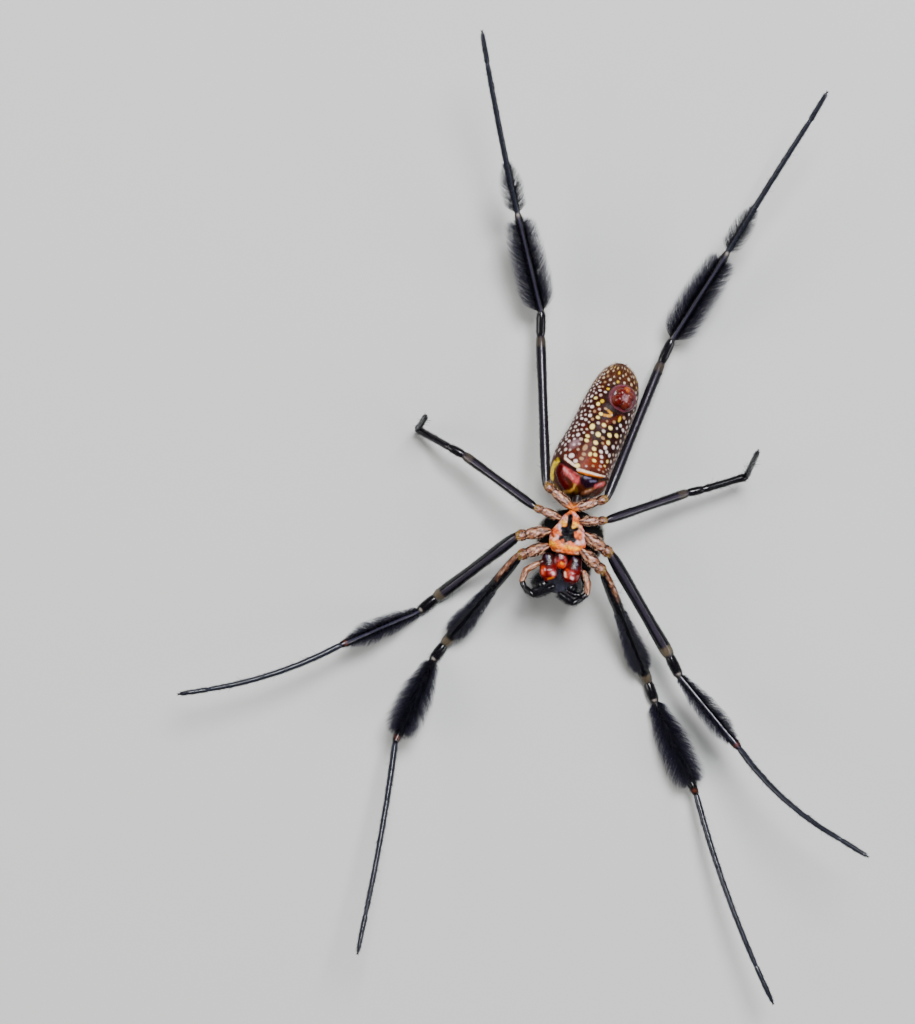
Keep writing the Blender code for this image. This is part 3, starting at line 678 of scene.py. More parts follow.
def paint_leg(leg, piece, distance, turn):
    """Mottled coxae, glossy black tubes, slate feet, and brown glassy ends at the knees, with a painted sheen
    down the thighs and some shins, and pale joint skin that is partly a painted highlight.
    """
    length = leg["pieces"][piece]["length"]
    belly = np.clip(np.sin(turn), 0.0, 1.0)
    if piece == "coxa":
        share = distance / length
        rows = paint_coxa(share, turn)
        if leg["pair"] == 4:
            brushed(rows, ORANGE, 0.6 * belly * (1.0 - ramp(share, 0.02, 0.1)))
        return rows
    if piece in ("metatarsus", "tarsus"):
        rows = coated(len(distance), SLATE, 0.16, 0.0, 0.3)
        if piece == "metatarsus":
            # Pale joint skin at the root of the last feet, partly a painted highlight
            brushed(rows, MEMBRANE_AND_HIGHLIGHT, 0.35 * belly * (1.0 - ramp(distance, 0.1, 0.35)) * (leg["pair"] > 3))
        return rows
    rows = coated(len(distance), BLACK if leg["pair"] < 3 else LEG_DARK, 0.11, 0.0, 0.4)
    if piece == "femur":
        brushed(rows, MAROON_BLACK, 0.8 * (1.0 - ramp(distance, 0.1, 0.35)))
        # A painted sheen down the belly side of the thighs, standing in for their highlight
        brushed(rows, PAINTED_SHEEN_GREY, 0.17 * (leg["pair"] > 1) * hill(turn, BELLY_TURN, 0.3))
        if leg["pair"] == 1:
            off = np.abs(turn - STRIPE_TURN[leg["side"]]) + 0.12 * wobble(3.0 * distance, 2.0 * turn, 2.2)
            stripe = (1.0 - ramp(off, 0.3, 0.62)) * (1.0 - ramp(distance, 1.6, 4.4))
            brushed(rows, TAN, 0.95 * stripe)
            # Cream flecks on the stripe: partly its own pale colour, partly painted highlight specks
            brushed(rows, CREAM, 0.7 * stripe * ramp(wobble(2.0 * distance, 3.0 * turn, 2.6), 0.2, 0.6))
            brushed(rows, BROWN, 0.9 * stripe * ramp(wobble(1.6 * distance + 5.0, 3.4 * turn, 2.4), 0.0, 0.4))
            rows[:, MOTTLE] = np.maximum(rows[:, MOTTLE], stripe)
            rows[:, BUMP] = np.maximum(rows[:, BUMP], 1.5 * stripe)
        glassy = ramp(distance, length - 1.3, length - 0.95) * (1.0 - ramp(distance, length - 0.12, length))
        near_belly = 1.0 - ramp(np.abs(turn - BELLY_TURN), 0.9, 1.3)
        brushed(rows, GLASS_BROWN, glassy * near_belly * (0.95 if leg["pair"] < 3 else 0.4))
    if piece == "patella" and leg["pair"] < 3:
        # Pale joint skin at the knee's far end, partly a painted highlight
        brushed(rows, MEMBRANE_AND_HIGHLIGHT, 0.6 * hill(turn, BELLY_TURN, 0.4) * hill(distance, length - 0.15, 0.1))
    if piece == "tibia" and leg["pair"] < 3:
        brushed(rows, RUST, 0.12 * hill(turn, BELLY_TURN, 1.0) * hill(distance, length - 0.3, 0.2))
        brushed(rows, KNEE_ORANGE, 0.8 * hill(turn, BELLY_TURN, 0.8) * hill(distance, length - 0.28, 0.1))
    if piece == "tibia" and leg["pair"] in (2, 4):
        # A painted sheen down the belly side of these shins, standing in for their highlight
        brushed(rows, PAINTED_SHEEN_BLUE, 0.22 * hill(turn, BELLY_TURN, 0.22))
    if piece == "tibia" and leg["pair"] == 4:
        # Pale joint skin at both ends of the last shins, partly painted highlights
        far_end = ramp(distance, length - 0.4, length - 0.15)
        brushed(rows, MEMBRANE_AND_HIGHLIGHT, 0.35 * hill(turn, BELLY_TURN, 0.5) * far_end)
        brushed(rows, MEMBRANE_AND_HIGHLIGHT, 0.6 * belly * hill(distance, 0.1, 0.12))
    return rows


# %% The leg tubes and their joints
JOINT_BALL = 0.92
JOINT_TINTS = {"femur": BROWN, "metatarsus": MAROON_BLACK}
for leg in LEGS:
    for piece, data in leg["pieces"].items():
        near, far = leg_width(piece, data, 0.0), leg_width(piece, data, data["length"])
        root_cap = (1.1 if piece == "coxa" else CAP_SHARE) * near
        run = (0.0, data["length"], LEG_SPACING[piece], root_cap, CAP_SHARE * far)
        mesh, along, turn = round_tube(
            data["chain"], run, lambda distance: leg_width(piece, data, distance), LEG_SIDES[piece])
        keep(mesh, paint_leg(leg, piece, np.clip(along, 0.0, data["length"]), turn))
        if piece != "coxa":
            joint = bmesh.new()
            bmesh.ops.create_icosphere(joint, subdivisions=3, radius=JOINT_BALL * near)
            bmesh.ops.translate(joint, vec=data["chain"][0][0], verts=joint.verts)
            keep(joint, coated(len(joint.verts), JOINT_TINTS.get(piece, BLACK), 0.2, 0.3))
print("leg parts:", len(flesh))

# %% [markdown]
# ## The abdomen
#
# A long, soft sack that bends a little to one side. It has rolled on its back by some twenty
# degrees, so its belly line is on the right of the picture's middle. Across the front runs a
# pale furrow. In front of it lie the two book lungs and, between them, the dark plate over the
# egg opening. The rest is strewn with cream spots.

# %% Shape of the abdomen
ABDOMEN_START = (12.97, 1.25, 5.1)
ABDOMEN_STEP = 0.25
# Heading and pitch at distances along the abdomen
ABDOMEN_BENDS = (
    (0.0, 84.0, -12.0), (2.5, 84.0, -12.0), (4.9, 61.0, -13.0), (6.4, 61.0, -13.0), (8.8, 66.0, -13.0),
    (11.8, 66.0, -13.0), (14.6, 79.0, -2.0), (16.5, 79.0, -2.0),
)
ABDOMEN_ROWS = (
    (0.0, 0.8, 0.8, 0.8), (0.35, 1.75, 1.6, 1.6), (1.2, 2.72, 2.5, 2.5), (2.6, 3.2, 2.95, 3.0),
    (4.6, 3.27, 3.05, 3.1), (7.0, 3.12, 3.05, 3.05), (9.5, 3.02, 2.95, 2.9), (12.0, 2.85, 2.75, 2.7),
    (13.9, 2.5, 2.4, 2.4), (15.3, 1.8, 1.75, 1.75), (16.0, 1.1, 1.1, 1.1), (16.3, 0.6, 0.6, 0.6),
)
ABDOMEN_LENGTH = 16.3
ABDOMEN_ROLL = math.radians(19.0)
ABDOMEN_SPACING = 0.078
ABDOMEN_SIDES = 226
ABDOMEN_GIRTH = 3.05

bend_knots, bend_headings, bend_pitches = zip(*ABDOMEN_BENDS)
abdomen_chain, _ = walk(place(*ABDOMEN_START), [
    (np.interp(middle, bend_knots, bend_headings), np.interp(middle, bend_knots, bend_pitches), ABDOMEN_STEP)
    for middle in np.arange(0.5 * ABDOMEN_STEP, bend_knots[-1], ABDOMEN_STEP)])


def abdomen_sizes(distance):
    """Half width, depth below and height above at distances along the abdomen."""
    table = np.array(ABDOMEN_ROWS)
    return [soft_curve(distance, table[:, 0], table[:, column]) for column in (1, 2, 3)]


def belly_arc(turn):
    """How far round from the belly line a turn is, in mm on a body of even girth, left positive."""
    off = turn - (BELLY_TURN - ABDOMEN_ROLL)
    off = np.mod(off + math.pi, 2.0 * math.pi) - math.pi
    return ABDOMEN_GIRTH * off


def abdomen_points(distance, turn):
    """Points of the abdomen's skin at many distances and turns."""
    across, below, above = abdomen_sizes(distance)
    centre, side, up, _ = frames_on(abdomen_chain, distance)
    reach = np.where(np.sin(turn) > 0.0, above, below)
    return centre + around(side, up, turn, across, reach)


# %% [markdown]
# Marks are easiest to place on a plan, as seen from straight above. This search finds where on
# the rounded belly a point of the plan lands, so that marks then follow the skin.

# %% From the plan to the belly
belly_distance, belly_turn = [
    part.ravel() for part in np.meshgrid(np.linspace(0.0, 16.2, 325), np.linspace(0.02, math.pi - 0.02, 121))
]
belly_plan = abdomen_points(belly_distance, belly_turn)[:, :2]


def on_belly(x, y):
    """Distance and arc of the place on the belly under a point of the plan, in mm."""
    nearest = np.argmin(np.linalg.norm(belly_plan - place(x, y, 0.0)[:2], axis=1))
    return float(belly_distance[nearest]), float(belly_arc(belly_turn[nearest]))


def belly_marks(marks):
    """The same marks with their points moved from the plan to distance and arc."""
    return [(*mark[:-1], [on_belly(*point) for point in mark[-1]]) for mark in marks]


FURROW_PLAN = ((11.2, 5.55), (12.2, 4.9), (13.2, 4.3), (14.2, 3.95), (15.2, 3.72), (16.1, 3.55))
LUNG_PLAN = ((11.1, 4.55), (11.3, 3.5), (11.75, 2.75))
furrow_line = sorted((arc, distance) for distance, arc in (on_belly(*point) for point in FURROW_PLAN))
lung_line = [on_belly(*point) for point in LUNG_PLAN]
print("furrow, arc and distance:", [(round(arc, 2), round(distance, 2)) for arc, distance in furrow_line])


def furrow_at(arc):
    """How far back the furrow runs at an arc."""
    return np.interp(arc, [knot[0] for knot in furrow_line], [knot[1] for knot in furrow_line])


def lung_gap(distance, arc):
    """How far a place is from the middle lines of the two book lungs, one on each side."""
    return line_gap(distance, np.abs(arc), lung_line)


def abdomen_relief(distance, turn):
    """Lungs and egg plate stand up a little, the furrow cuts in, and faint folds run round."""
    arc = belly_arc(turn)
    front = np.abs(arc) < 4.6
    height = 0.14 * (1.0 - ramp(lung_gap(distance, arc), 0.3, 0.62))
    height -= 0.2 * hill(distance, furrow_at(arc), 0.12) * front
    height += 0.2 * hill(arc, 0.0, 0.75) * hill(distance, furrow_at(arc) - 0.75, 0.4)
    height -= 0.16 * hill(arc, 0.0, 0.14) * hill(distance, furrow_at(arc) - 1.0, 0.3)
    folds = 0.02 * np.sin(distance * 5.3 + 1.1 * np.sin(arc * 0.7)) * ramp(distance, 4.0, 6.0)
    return height + folds * (1.0 - ramp(distance, 14.0, 15.5))


# %% [markdown]
# The spots that show on the belly are placed one by one on the plan. Smaller ones are thrown at
# random over the rest and kept only where they have room, which gives the even scatter of the
# real thing.

# %% Spots of the abdomen
# Plan x and y, half width and half length in mm, and tint
BELLY_SPOTS = (
    (17.73, 15.25, 0.22, 0.2, "yellow"), (16.48, 14.9, 0.24, 0.18, "dull"),
    (17.58, 14.2, 0.22, 0.2, "yellow"), (16.13, 14.25, 0.2, 0.2, "dull"), (18.68, 13.7, 0.22, 0.2, "dull"),
    (15.28, 14.0, 0.22, 0.2, "white"), (16.48, 13.45, 0.25, 0.2, "yellow"), (15.58, 13.3, 0.26, 0.2, "white"),
    (15.13, 12.45, 0.27, 0.2, "cream"), (15.78, 12.1, 0.25, 0.24, "yellow"),
    (15.33, 11.8, 0.25, 0.24, "cream"), (14.68, 11.5, 0.27, 0.22, "white"),
    (14.93, 11.0, 0.2, 0.2, "dull"), (15.6, 10.68, 0.25, 0.2, "cream"), (15.28, 10.3, 0.25, 0.2, "cream"),
    (14.43, 10.55, 0.25, 0.24, "white"), (14.73, 10.1, 0.2, 0.2, "dull"), (13.58, 10.2, 0.28, 0.17, "white"),
    (17.68, 10.1, 0.19, 0.36, "yellow"), (17.08, 9.8, 0.22, 0.2, "dull"), (16.28, 9.9, 0.14, 0.14, "dull"),
    (15.93, 9.45, 0.27, 0.22, "cream"), (16.68, 9.13, 0.28, 0.22, "cream"), (14.63, 9.3, 0.31, 0.38, "cream"),
    (13.68, 9.5, 0.24, 0.2, "white"), (17.83, 9.4, 0.24, 0.2, "white"), (18.08, 8.95, 0.3, 0.2, "white"),
    (15.28, 8.45, 0.31, 0.29, "cream"), (16.53, 8.38, 0.3, 0.25, "cream"), (17.33, 8.3, 0.32, 0.22, "cream"),
    (14.15, 8.25, 0.26, 0.21, "cream"), (13.13, 8.4, 0.25, 0.24, "white"), (15.83, 8.0, 0.28, 0.17, "dull"),
    (14.05, 7.75, 0.25, 0.21, "cream"), (15.01, 7.55, 0.28, 0.24, "cream"),
    (16.45, 7.55, 0.28, 0.24, "cream"),
    (15.78, 7.5, 0.2, 0.16, "dull"), (13.85, 7.0, 0.26, 0.42, "dull"), (14.81, 6.87, 0.26, 0.22, "cream"),
    (16.05, 7.0, 0.24, 0.24, "white"), (16.98, 7.05, 0.26, 0.22, "white"), (15.58, 6.58, 0.26, 0.2, "white"),
    (16.21, 6.52, 0.22, 0.19, "white"), (12.38, 6.15, 0.34, 0.24, "white"), (13.71, 6.27, 0.24, 0.2, "dull"),
    (14.38, 6.3, 0.19, 0.26, "cream"), (14.93, 6.22, 0.23, 0.22, "cream"), (15.61, 6.0, 0.24, 0.2, "white"),
    (16.55, 6.15, 0.23, 0.22, "white"), (13.41, 5.8, 0.25, 0.2, "dull"), (12.78, 5.55, 0.24, 0.2, "white"),
    (14.83, 5.57, 0.26, 0.22, "cream"), (15.68, 5.45, 0.21, 0.21, "white"), (16.28, 5.5, 0.2, 0.2, "cream"),
    (14.68, 5.0, 0.2, 0.18, "dull"), (16.01, 5.0, 0.2, 0.2, "cream"), (13.01, 5.05, 0.3, 0.24, "cream"),
)
SPOT_TRIES = 16000
SPOT_SEED = 11
SPOT_SIZES = (0.12, 0.21)
# Bare skin round a spot, by how far round from the belly line it is
SPOT_ROOMS = ((0.0, 2.2, 3.0, 6.0, 6.5), (0.24, 0.19, 0.13, 0.15, 0.75))
SPINNERET_ROOM = 2.0
SPINNERET_DISTANCE, SPINNERET_ARC = on_belly(17.85, 12.35)
spot_tints = {"cream": SPOT_CREAM, "white": SPOT_WHITE, "yellow": SPOT_YELLOW, "dull": SPOT_DULL}


def scatter_spots():
    """Rows of distance, arc, half width, half length and tint for every spot."""
    draw = np.random.default_rng(SPOT_SEED)
    spots = np.array([
        (*on_belly(x, y), wide, long, *spot_tints[name]) for x, y, wide, long, name in BELLY_SPOTS])
    half_girth = math.pi * ABDOMEN_GIRTH
    for _ in range(SPOT_TRIES):
        distance = draw.uniform(3.2, 16.0)
        arc = draw.uniform(-half_girth, half_girth)
        size = draw.uniform(*SPOT_SIZES)
        dull = draw.uniform(0.0, 1.0)
        off_spinnerets = np.hypot(distance - SPINNERET_DISTANCE, arc - SPINNERET_ARC)
        if distance < furrow_at(arc) + 0.5 or off_spinnerets < SPINNERET_ROOM:
            continue
        gaps = np.hypot(distance - spots[:, 0], arc - spots[:, 1]) - 0.5 * (spots[:, 2] + spots[:, 3])
        if gaps.min() < size + np.interp(abs(arc), *SPOT_ROOMS):
            continue
        duller = dull if abs(arc) < 3.0 else 0.35 * dull
        tint = mix(np.array(SPOT_WHITE), np.array(SPOT_DULL), duller)
        tint = mix(tint, np.array(SPOT_YELLOW), 0.6 * float(ramp(distance, 11.5, 14.5)) * dull)
        spots = np.vstack((spots, (distance, arc, size * mix(1.0, 1.4, dull), size, *tint)))
    return spots


SPOTS = scatter_spots()
print("spots:", len(SPOTS))

# %% [markdown]
# The ground colour under the spots goes from rust behind the furrow to nearly black maroon along
# the belly and mauve at the sides. In front of the furrow each mark is a soft brush stroke: the
# red book lung, the pink skin beside it, the dark egg plate with its blue sheen, tan folds, and
# the pale line of the furrow itself. The back, which the photo doesn't show, is olive gold as in
# the species, with a pale band at its front.
# The egg plate's blue sheen and the white strokes on the pink skin are painted highlights.

# %% Paint of the abdomen
SPOT_EDGE = 0.06
SPOT_SHARE = 0.88
SPOT_REACH = 0.6
# Tint, weight, half width and softness in mm, and points on the plan
FRONT_MARKS = belly_marks((
    (PINK, 0.95, 0.42, 0.25, ((11.5, 4.95), (12.2, 4.3), (12.9, 3.5))),
    # White strokes on the pink skin are painted highlights
    (PAINTED_HIGHLIGHT_WHITE, 0.4, 0.08, 0.12, ((11.55, 4.75), (11.9, 4.3))),
    (PAINTED_HIGHLIGHT_WHITE, 0.3, 0.06, 0.1, ((12.2, 4.1), (12.5, 3.6))),
    (LUNG_RED, 0.6, 0.12, 0.12, ((12.3, 4.5), (12.9, 3.9))),
    (LUNG_RED, 1.0, 0.52, 0.1, LUNG_PLAN),
    (FOLD_TAN, 0.95, 0.12, 0.1, ((11.6, 2.15), (12.2, 2.15), (12.6, 2.5), (12.75, 2.95))),
    (TAN, 0.9, 0.24, 0.16, ((13.5, 1.95), (14.3, 2.25), (15.0, 2.75))),
    (CREAM, 0.5, 0.08, 0.1, ((13.9, 2.15), (14.5, 2.4))),
    (PURPLE, 1.0, 0.5, 0.16, ((13.75, 3.5), (14.2, 3.05), (14.9, 3.25))),
    # Pale blue strokes on the egg plate are painted highlights
    (PAINTED_SHEEN_BLUE, 0.9, 0.1, 0.12, ((13.85, 3.75), (14.4, 3.65))),
    (PAINTED_SHEEN_BLUE, 0.8, 0.08, 0.1, ((14.3, 3.3), (15.0, 3.35))),
    (PINK, 0.95, 0.22, 0.16, ((15.0, 2.8), (15.9, 3.1))),
    # A painted highlight on the pink skin
    (PAINTED_HIGHLIGHT_WHITE, 0.5, 0.07, 0.08, ((15.2, 2.9), (15.7, 3.1))),
    (OLIVE, 0.8, 0.14, 0.1, ((10.35, 3.3), (10.75, 2.4), (11.7, 1.6))),
    (YELLOW, 1.0, 0.45, 0.16, ((10.25, 3.9), (10.3, 4.5))),
    (YELLOW, 0.95, 0.32, 0.16, ((10.5, 5.1), (10.8, 5.45))),
    (MAROON_BLACK, 0.95, 0.2, 0.12, FURROW_PLAN),
))
BELLY_MARKS = belly_marks((
    (ORANGE, 0.75, 0.16, 0.08, ((13.2, 4.5), (14.1, 4.2), (15.2, 3.95), (15.8, 3.8))),
    (FURROW_CREAM, 1.0, 0.1, 0.05, ((11.65, 5.85), (12.25, 5.4), (12.7, 5.05))),
    (FURROW_CREAM, 1.0, 0.12, 0.05, ((13.05, 4.62), (14.1, 4.32), (15.2, 4.06), (16.05, 3.86))),
    (HOOK_YELLOW, 0.95, 0.13, 0.08, ((16.45, 11.0), (16.75, 10.75), (16.6, 10.48), (15.95, 10.55))),
    (RUST, 0.6, 0.3, 0.3, ((13.9, 5.2), (14.3, 5.5))),
    (RUST, 0.5, 0.3, 0.3, ((15.3, 4.8), (15.6, 5.0))),
    # A faint painted highlight
    (PAINTED_HIGHLIGHT_LILAC, 0.3, 0.35, 0.35, ((12.6, 7.4), (12.9, 7.6))),
))


def paint_abdomen(distance, turn):
    """Ground colour, spots, furrow, lungs and egg plate of the abdomen."""
    arc = belly_arc(turn)
    rows = coated(len(distance), MAUVE, 0.36, 0.5, 1.2, 1.0)
    brushed(rows, MAROON, 0.97 * hill(arc, 0.0, 3.6) * ramp(distance, 4.0, 6.5))
    brushed(rows, MAROON_BLACK, 0.75 * hill(arc, -0.3, 1.3) * hill(distance, 8.6, 2.6))
    brushed(rows, RUST, 0.7 * hill(arc, 0.0, 1.8) * hill(distance, 4.2, 1.1))
    brushed(rows, RUST, 0.3 * ramp(wobble(distance, arc, 2.2), 0.2, 0.8) * hill(arc, 0.0, 3.0))
    brushed(rows, REAR_TAN, 0.75 * ramp(distance, 12.5, 15.0))
    brushed(rows, BACK_GOLD, ramp(np.abs(arc), 5.2, 6.8))
    brushed(rows, SILVER, 0.85 * ramp(np.abs(arc), 5.4, 6.4) * hill(distance, 1.9, 0.5))
    ring = np.hypot(distance - SPINNERET_DISTANCE, arc - SPINNERET_ARC)
    brushed(rows, MAROON_BLACK, 0.8 * (1.0 - ramp(ring, 1.6, 2.1)))
    for spot in SPOTS:
        near = np.nonzero(np.maximum(np.abs(distance - spot[0]), np.abs(arc - spot[1])) < SPOT_REACH)[0]
        if not len(near):
            continue
        wide, long = SPOT_SHARE * spot[2], SPOT_SHARE * spot[3]
        inside = np.hypot((distance[near] - spot[0]) / long, (arc[near] - spot[1]) / wide)
        edge = SPOT_EDGE / wide
        weight = 1.0 - ramp(inside, 1.0 - edge, 1.0 + edge)
        rows[near, :3] = mix(rows[near, :3], spot[4:7], weight[:, None])
        rows[near, MOTTLE] *= 1.0 - weight
    front = 1.0 - ramp(distance, furrow_at(arc) - 0.1, furrow_at(arc) + 0.05)
    front *= 1.0 - ramp(np.abs(arc), 4.8, 5.6)
    rows[:, ROUGH] = mix(rows[:, ROUGH], 0.2, front)
    rows[:, BUMP] = mix(rows[:, BUMP], 1.6, front)
    brushed(rows, BROWN, 0.9 * front)
    brushed(rows, OLIVE, 0.5 * front * ramp(wobble(distance, arc, 3.1), 0.1, 0.7))
    draw_marks(rows, distance, arc, FRONT_MARKS, 1.0)
    draw_marks(rows, distance, arc, BELLY_MARKS, 1.0)
    right_lung = (arc < 0.0) * (1.0 - ramp(lung_gap(distance, arc), 0.42, 0.6))
    brushed(rows, LUNG_RED, 0.6 * front * right_lung * ramp(-arc, 3.2, 3.8))
    brushed(rows, MAROON_BLACK, 0.8 * (1.0 - ramp(distance, 0.3, 0.7)))
    return rows


# %% The abdomen's skin
distances, fullness = ring_run(0.0, ABDOMEN_LENGTH, ABDOMEN_SPACING, 0.3, 0.12)
across, below, above = [fullness * size for size in abdomen_sizes(distances)]
mesh, along, turn = rolled_tube(
    abdomen_chain, distances, across, below, above, ABDOMEN_SIDES, relief=abdomen_relief)
keep(mesh, paint_abdomen(along, turn))
print("abdomen points:", len(mesh.verts))

# %% [markdown]
# ## The spinnerets
#
# Two pairs of short cones stand together on a low collar near the end of the belly, with a small
# knob behind them. The collar is a short, wide tube whose root sinks into the belly, and each
# cone is a squashed sphere, leaned towards the middle.

# %% Spinnerets
SPINNERET_BASE = (18.05, 12.4, 5.05)
SPINNERET_LEAN = (12.0, 75.0)
COLLAR_ROOT = 1.5
COLLAR_RISE = 0.36
COLLAR_WIDTHS = (2.0, 1.52)
# Cones: how far back and how far left of the middle, half width, height
SPINNERET_CONES = (
    (-0.45, 0.46, 0.72, 0.95), (-0.45, -0.46, 0.72, 0.95),
    (0.42, 0.45, 0.62, 0.84), (0.42, -0.45, 0.62, 0.84), (0.96, 0.0, 0.46, 0.6),
)
CONE_LEAN = 0.35
CONE_LIFT = 0.1
# A cone further back than this is the small knob
KNOB_BACK = 0.8


def ball(spot, radii, segments, rings, turn=None):
    """A sphere stretched by three radii, turned if need be, and set at a spot."""
    mesh = bmesh.new()
    bmesh.ops.create_uvsphere(mesh, u_segments=segments, v_segments=rings, radius=1.0)
    bmesh.ops.scale(mesh, vec=radii, verts=mesh.verts)
    if turn is not None:
        bmesh.ops.rotate(mesh, cent=(0.0, 0.0, 0.0), matrix=turn, verts=mesh.verts)
    bmesh.ops.translate(mesh, vec=spot, verts=mesh.verts)
    return mesh


def leaned_ball(spot, axis, across, tall, segments):
    """A ball stretched along an axis."""
    turn = Vector((0.0, 0.0, 1.0)).rotation_difference(Vector(axis)).to_matrix()
    return ball(spot, (across, across, tall), segments, segments // 2, turn)


spin_axis = directions(*SPINNERET_LEAN)
spin_back = lying(frames_on(abdomen_chain, np.array([SPINNERET_DISTANCE]))[3][0], spin_axis)
spin_left = np.cross(spin_axis, spin_back)
spin_spot = place(*SPINNERET_BASE)


def from_spinnerets(mesh):
    """How far points are above the spinnerets' base, left of it, and off its axis."""
    spots = np.array([vert.co[:] for vert in mesh.verts]) - spin_spot
    return spots @ spin_axis, spots @ spin_left, np.linalg.norm(np.cross(spots, spin_axis), axis=1)


collar_chain = [(spin_spot - spin_axis * COLLAR_ROOT, *SPINNERET_LEAN, COLLAR_ROOT)]
mesh, along, _ = round_tube(
    collar_chain, (0.0, COLLAR_ROOT, 0.12, 0.1, COLLAR_RISE),
    lambda distance: np.interp(distance, (0.0, COLLAR_ROOT), COLLAR_WIDTHS), 48)
rows = coated(len(along), SPINNERET_RING, 0.16, 0.35, 0.6)
brushed(rows, MAROON, 1.0 - ramp(along, 0.75 * COLLAR_ROOT, COLLAR_ROOT))
brushed(rows, MAROON, 1.0 - ramp(from_spinnerets(mesh)[2], 1.1, 1.3))
keep(mesh, rows)
for back, left, wide, tall in SPINNERET_CONES:
    off = spin_back * back + spin_left * left
    spot = spin_spot + off + spin_axis * CONE_LIFT
    cone = leaned_ball(spot, unit(spin_axis - CONE_LEAN * off), wide, tall, 24)
    rows = coated(len(cone.verts), SPINNERET_RED, 0.2, 0.3, 0.8)
    height, leftwards, middle = from_spinnerets(cone)
    brushed(rows, KNEE_ORANGE, 0.4 * ramp(wobble(height, leftwards, 4.0), 0.0, 0.7))
    if back > KNOB_BACK:
        brushed(rows, SPINNERET_KNOB, 0.7 * ramp(height, 0.3, 0.45))
    else:
        # A painted highlight where the cones meet
        brushed(rows, PAINTED_HIGHLIGHT_LILAC, 0.35 * (1.0 - ramp(middle, 0.2, 0.5)))
    keep(cone, rows)

# %% [markdown]
# ## Carapace, breastplate and mouth
#
# The carapace is the shield over the spider's front half, broad at the legs and narrow at the
# head. It lies face down here, so the camera sees only its dark edges between the legs, but it
# is finished all round. A narrow stalk, the pedicel, ties it to the abdomen.

# %% Carapace
CARAPACE_START = (12.85, 0.8)
CARAPACE_LENGTH = 9.6
# Distance from the rear end, half width, height of the back and height of the belly side
CARAPACE_ROWS = (
    (0.0, 0.45, 6.0, 6.85), (0.45, 0.5, 5.95, 6.9), (0.85, 1.55, 5.0, 6.95), (1.8, 2.9, 4.2, 7.0),
    (3.5, 3.65, 3.85, 7.0), (5.2, 3.3, 3.7, 7.0), (6.25, 2.8, 3.45, 6.9), (6.95, 2.65, 3.4, 5.35),
    (8.4, 2.5, 3.5, 5.1), (9.2, 2.1, 3.75, 4.95), (9.6, 1.45, 4.05, 4.75),
)
CARAPACE_SPACING = 0.16
CARAPACE_SIDES = 88
PEDICEL_START = (12.75, 0.2, 6.45)
PEDICEL_RUN = (78.0, -18.0, 1.9)
PEDICEL_RADIUS = 0.5
carapace_chain, _ = walk(place(*CARAPACE_START, 0.0), [(BODY_HEADING, 0.0, CARAPACE_LENGTH)])
pedicel_chain, _ = walk(place(*PEDICEL_START), [PEDICEL_RUN])


def level_sizes(rows, distance):
    """Half width, half height and middle height of a level part at distances along it."""
    table = np.array(rows)
    across, bottom, top = [soft_curve(distance, table[:, 0], table[:, column]) for column in (1, 2, 3)]
    return across, 0.5 * (top - bottom), 0.5 * (top + bottom)


def level_tube(chain, run, rows, sides, relief=None):
    """A closed tube over a level chain, from its ring run and its rows of widths and heights."""
    distances, fullness = ring_run(*run)
    across, half, lift = level_sizes(rows, distances)
    return rolled_tube(chain, distances, fullness * across, fullness * half, fullness * half, sides,
                       lift=lift, relief=relief)


def carapace_relief(distance, turn):
    """On the back: a pit in the middle, furrows that part the head, and ribs towards the legs."""
    back = np.clip(-np.sin(turn), 0.0, 1.0)
    off = 3.3 * np.cos(turn)
    pit = 0.35 * hill(distance, 3.3, 0.35) * hill(off, 0.0, 0.55)
    parting = 0.22 * hill(distance, 3.6 + 1.1 * np.abs(off), 0.3) * ramp(np.abs(off), 0.2, 0.8)
    ribs = 0.07 * np.cos(distance * 4.2) * ramp(np.abs(off), 0.8, 2.0) * (1.0 - ramp(distance, 5.6, 6.4))
    return (ribs - pit - parting) * back


def paint_carapace(distance, turn):
    """Nearly black, browner on the head and tan at the rear end, with painted shade that makes the belly side
    darkest.
    """
    rows = coated(len(distance), CARAPACE_DARK, 0.6, 0.4, 1.5, 1.0)
    brushed(rows, BROWN, 0.35 * ramp(distance, 6.0, 9.0))
    brushed(rows, TAN, 0.8 * (1.0 - ramp(distance, 0.3, 0.8)))
    # Painted shade: the belly side between the leg roots is made nearly black
    brushed(rows, CARAPACE_PAINTED_SHADE, ramp(np.sin(turn), 0.1, 0.6) * ramp(distance, 0.5, 1.0))
    return rows


mesh, along, turn = level_tube(
    carapace_chain, (0.0, CARAPACE_LENGTH, CARAPACE_SPACING, 0.25, 0.3), CARAPACE_ROWS, CARAPACE_SIDES,
    carapace_relief)
keep(mesh, paint_carapace(along, turn))
mesh, along, _ = round_tube(
    pedicel_chain, (0.0, PEDICEL_RUN[2], 0.2, 0.2, 0.2), lambda distance: PEDICEL_RADIUS, 20)
rows = coated(len(along), MAROON_BLACK, 0.3, 0.5, 1.5)
brushed(rows, TAN, 1.0 - ramp(along, 0.3, 0.8))
keep(mesh, rows)

# %% [markdown]
# The breastplate between the legs is a shield with its point towards the abdomen, and has a low
# hump facing each leg root. Its dark mark is a ragged cross with a long stem. It faces straight
# up, so its marks are brushed on by their place on the plan.

# %% Breastplate
STERNUM_START = (12.45, 0.1)
STERNUM_HEADING = BODY_HEADING - 1.0
STERNUM_LENGTH = 4.5
STERNUM_SPACING = 0.07
STERNUM_SIDES = 110
STERNUM_ROWS = (
    (0.0, 0.35, 7.3, 8.2), (0.5, 0.85, 7.2, 8.4), (1.5, 1.35, 7.0, 8.5), (2.8, 2.05, 7.0, 8.5),
    (4.0, 1.95, 7.0, 8.5), (4.5, 1.6, 7.1, 8.35),
)
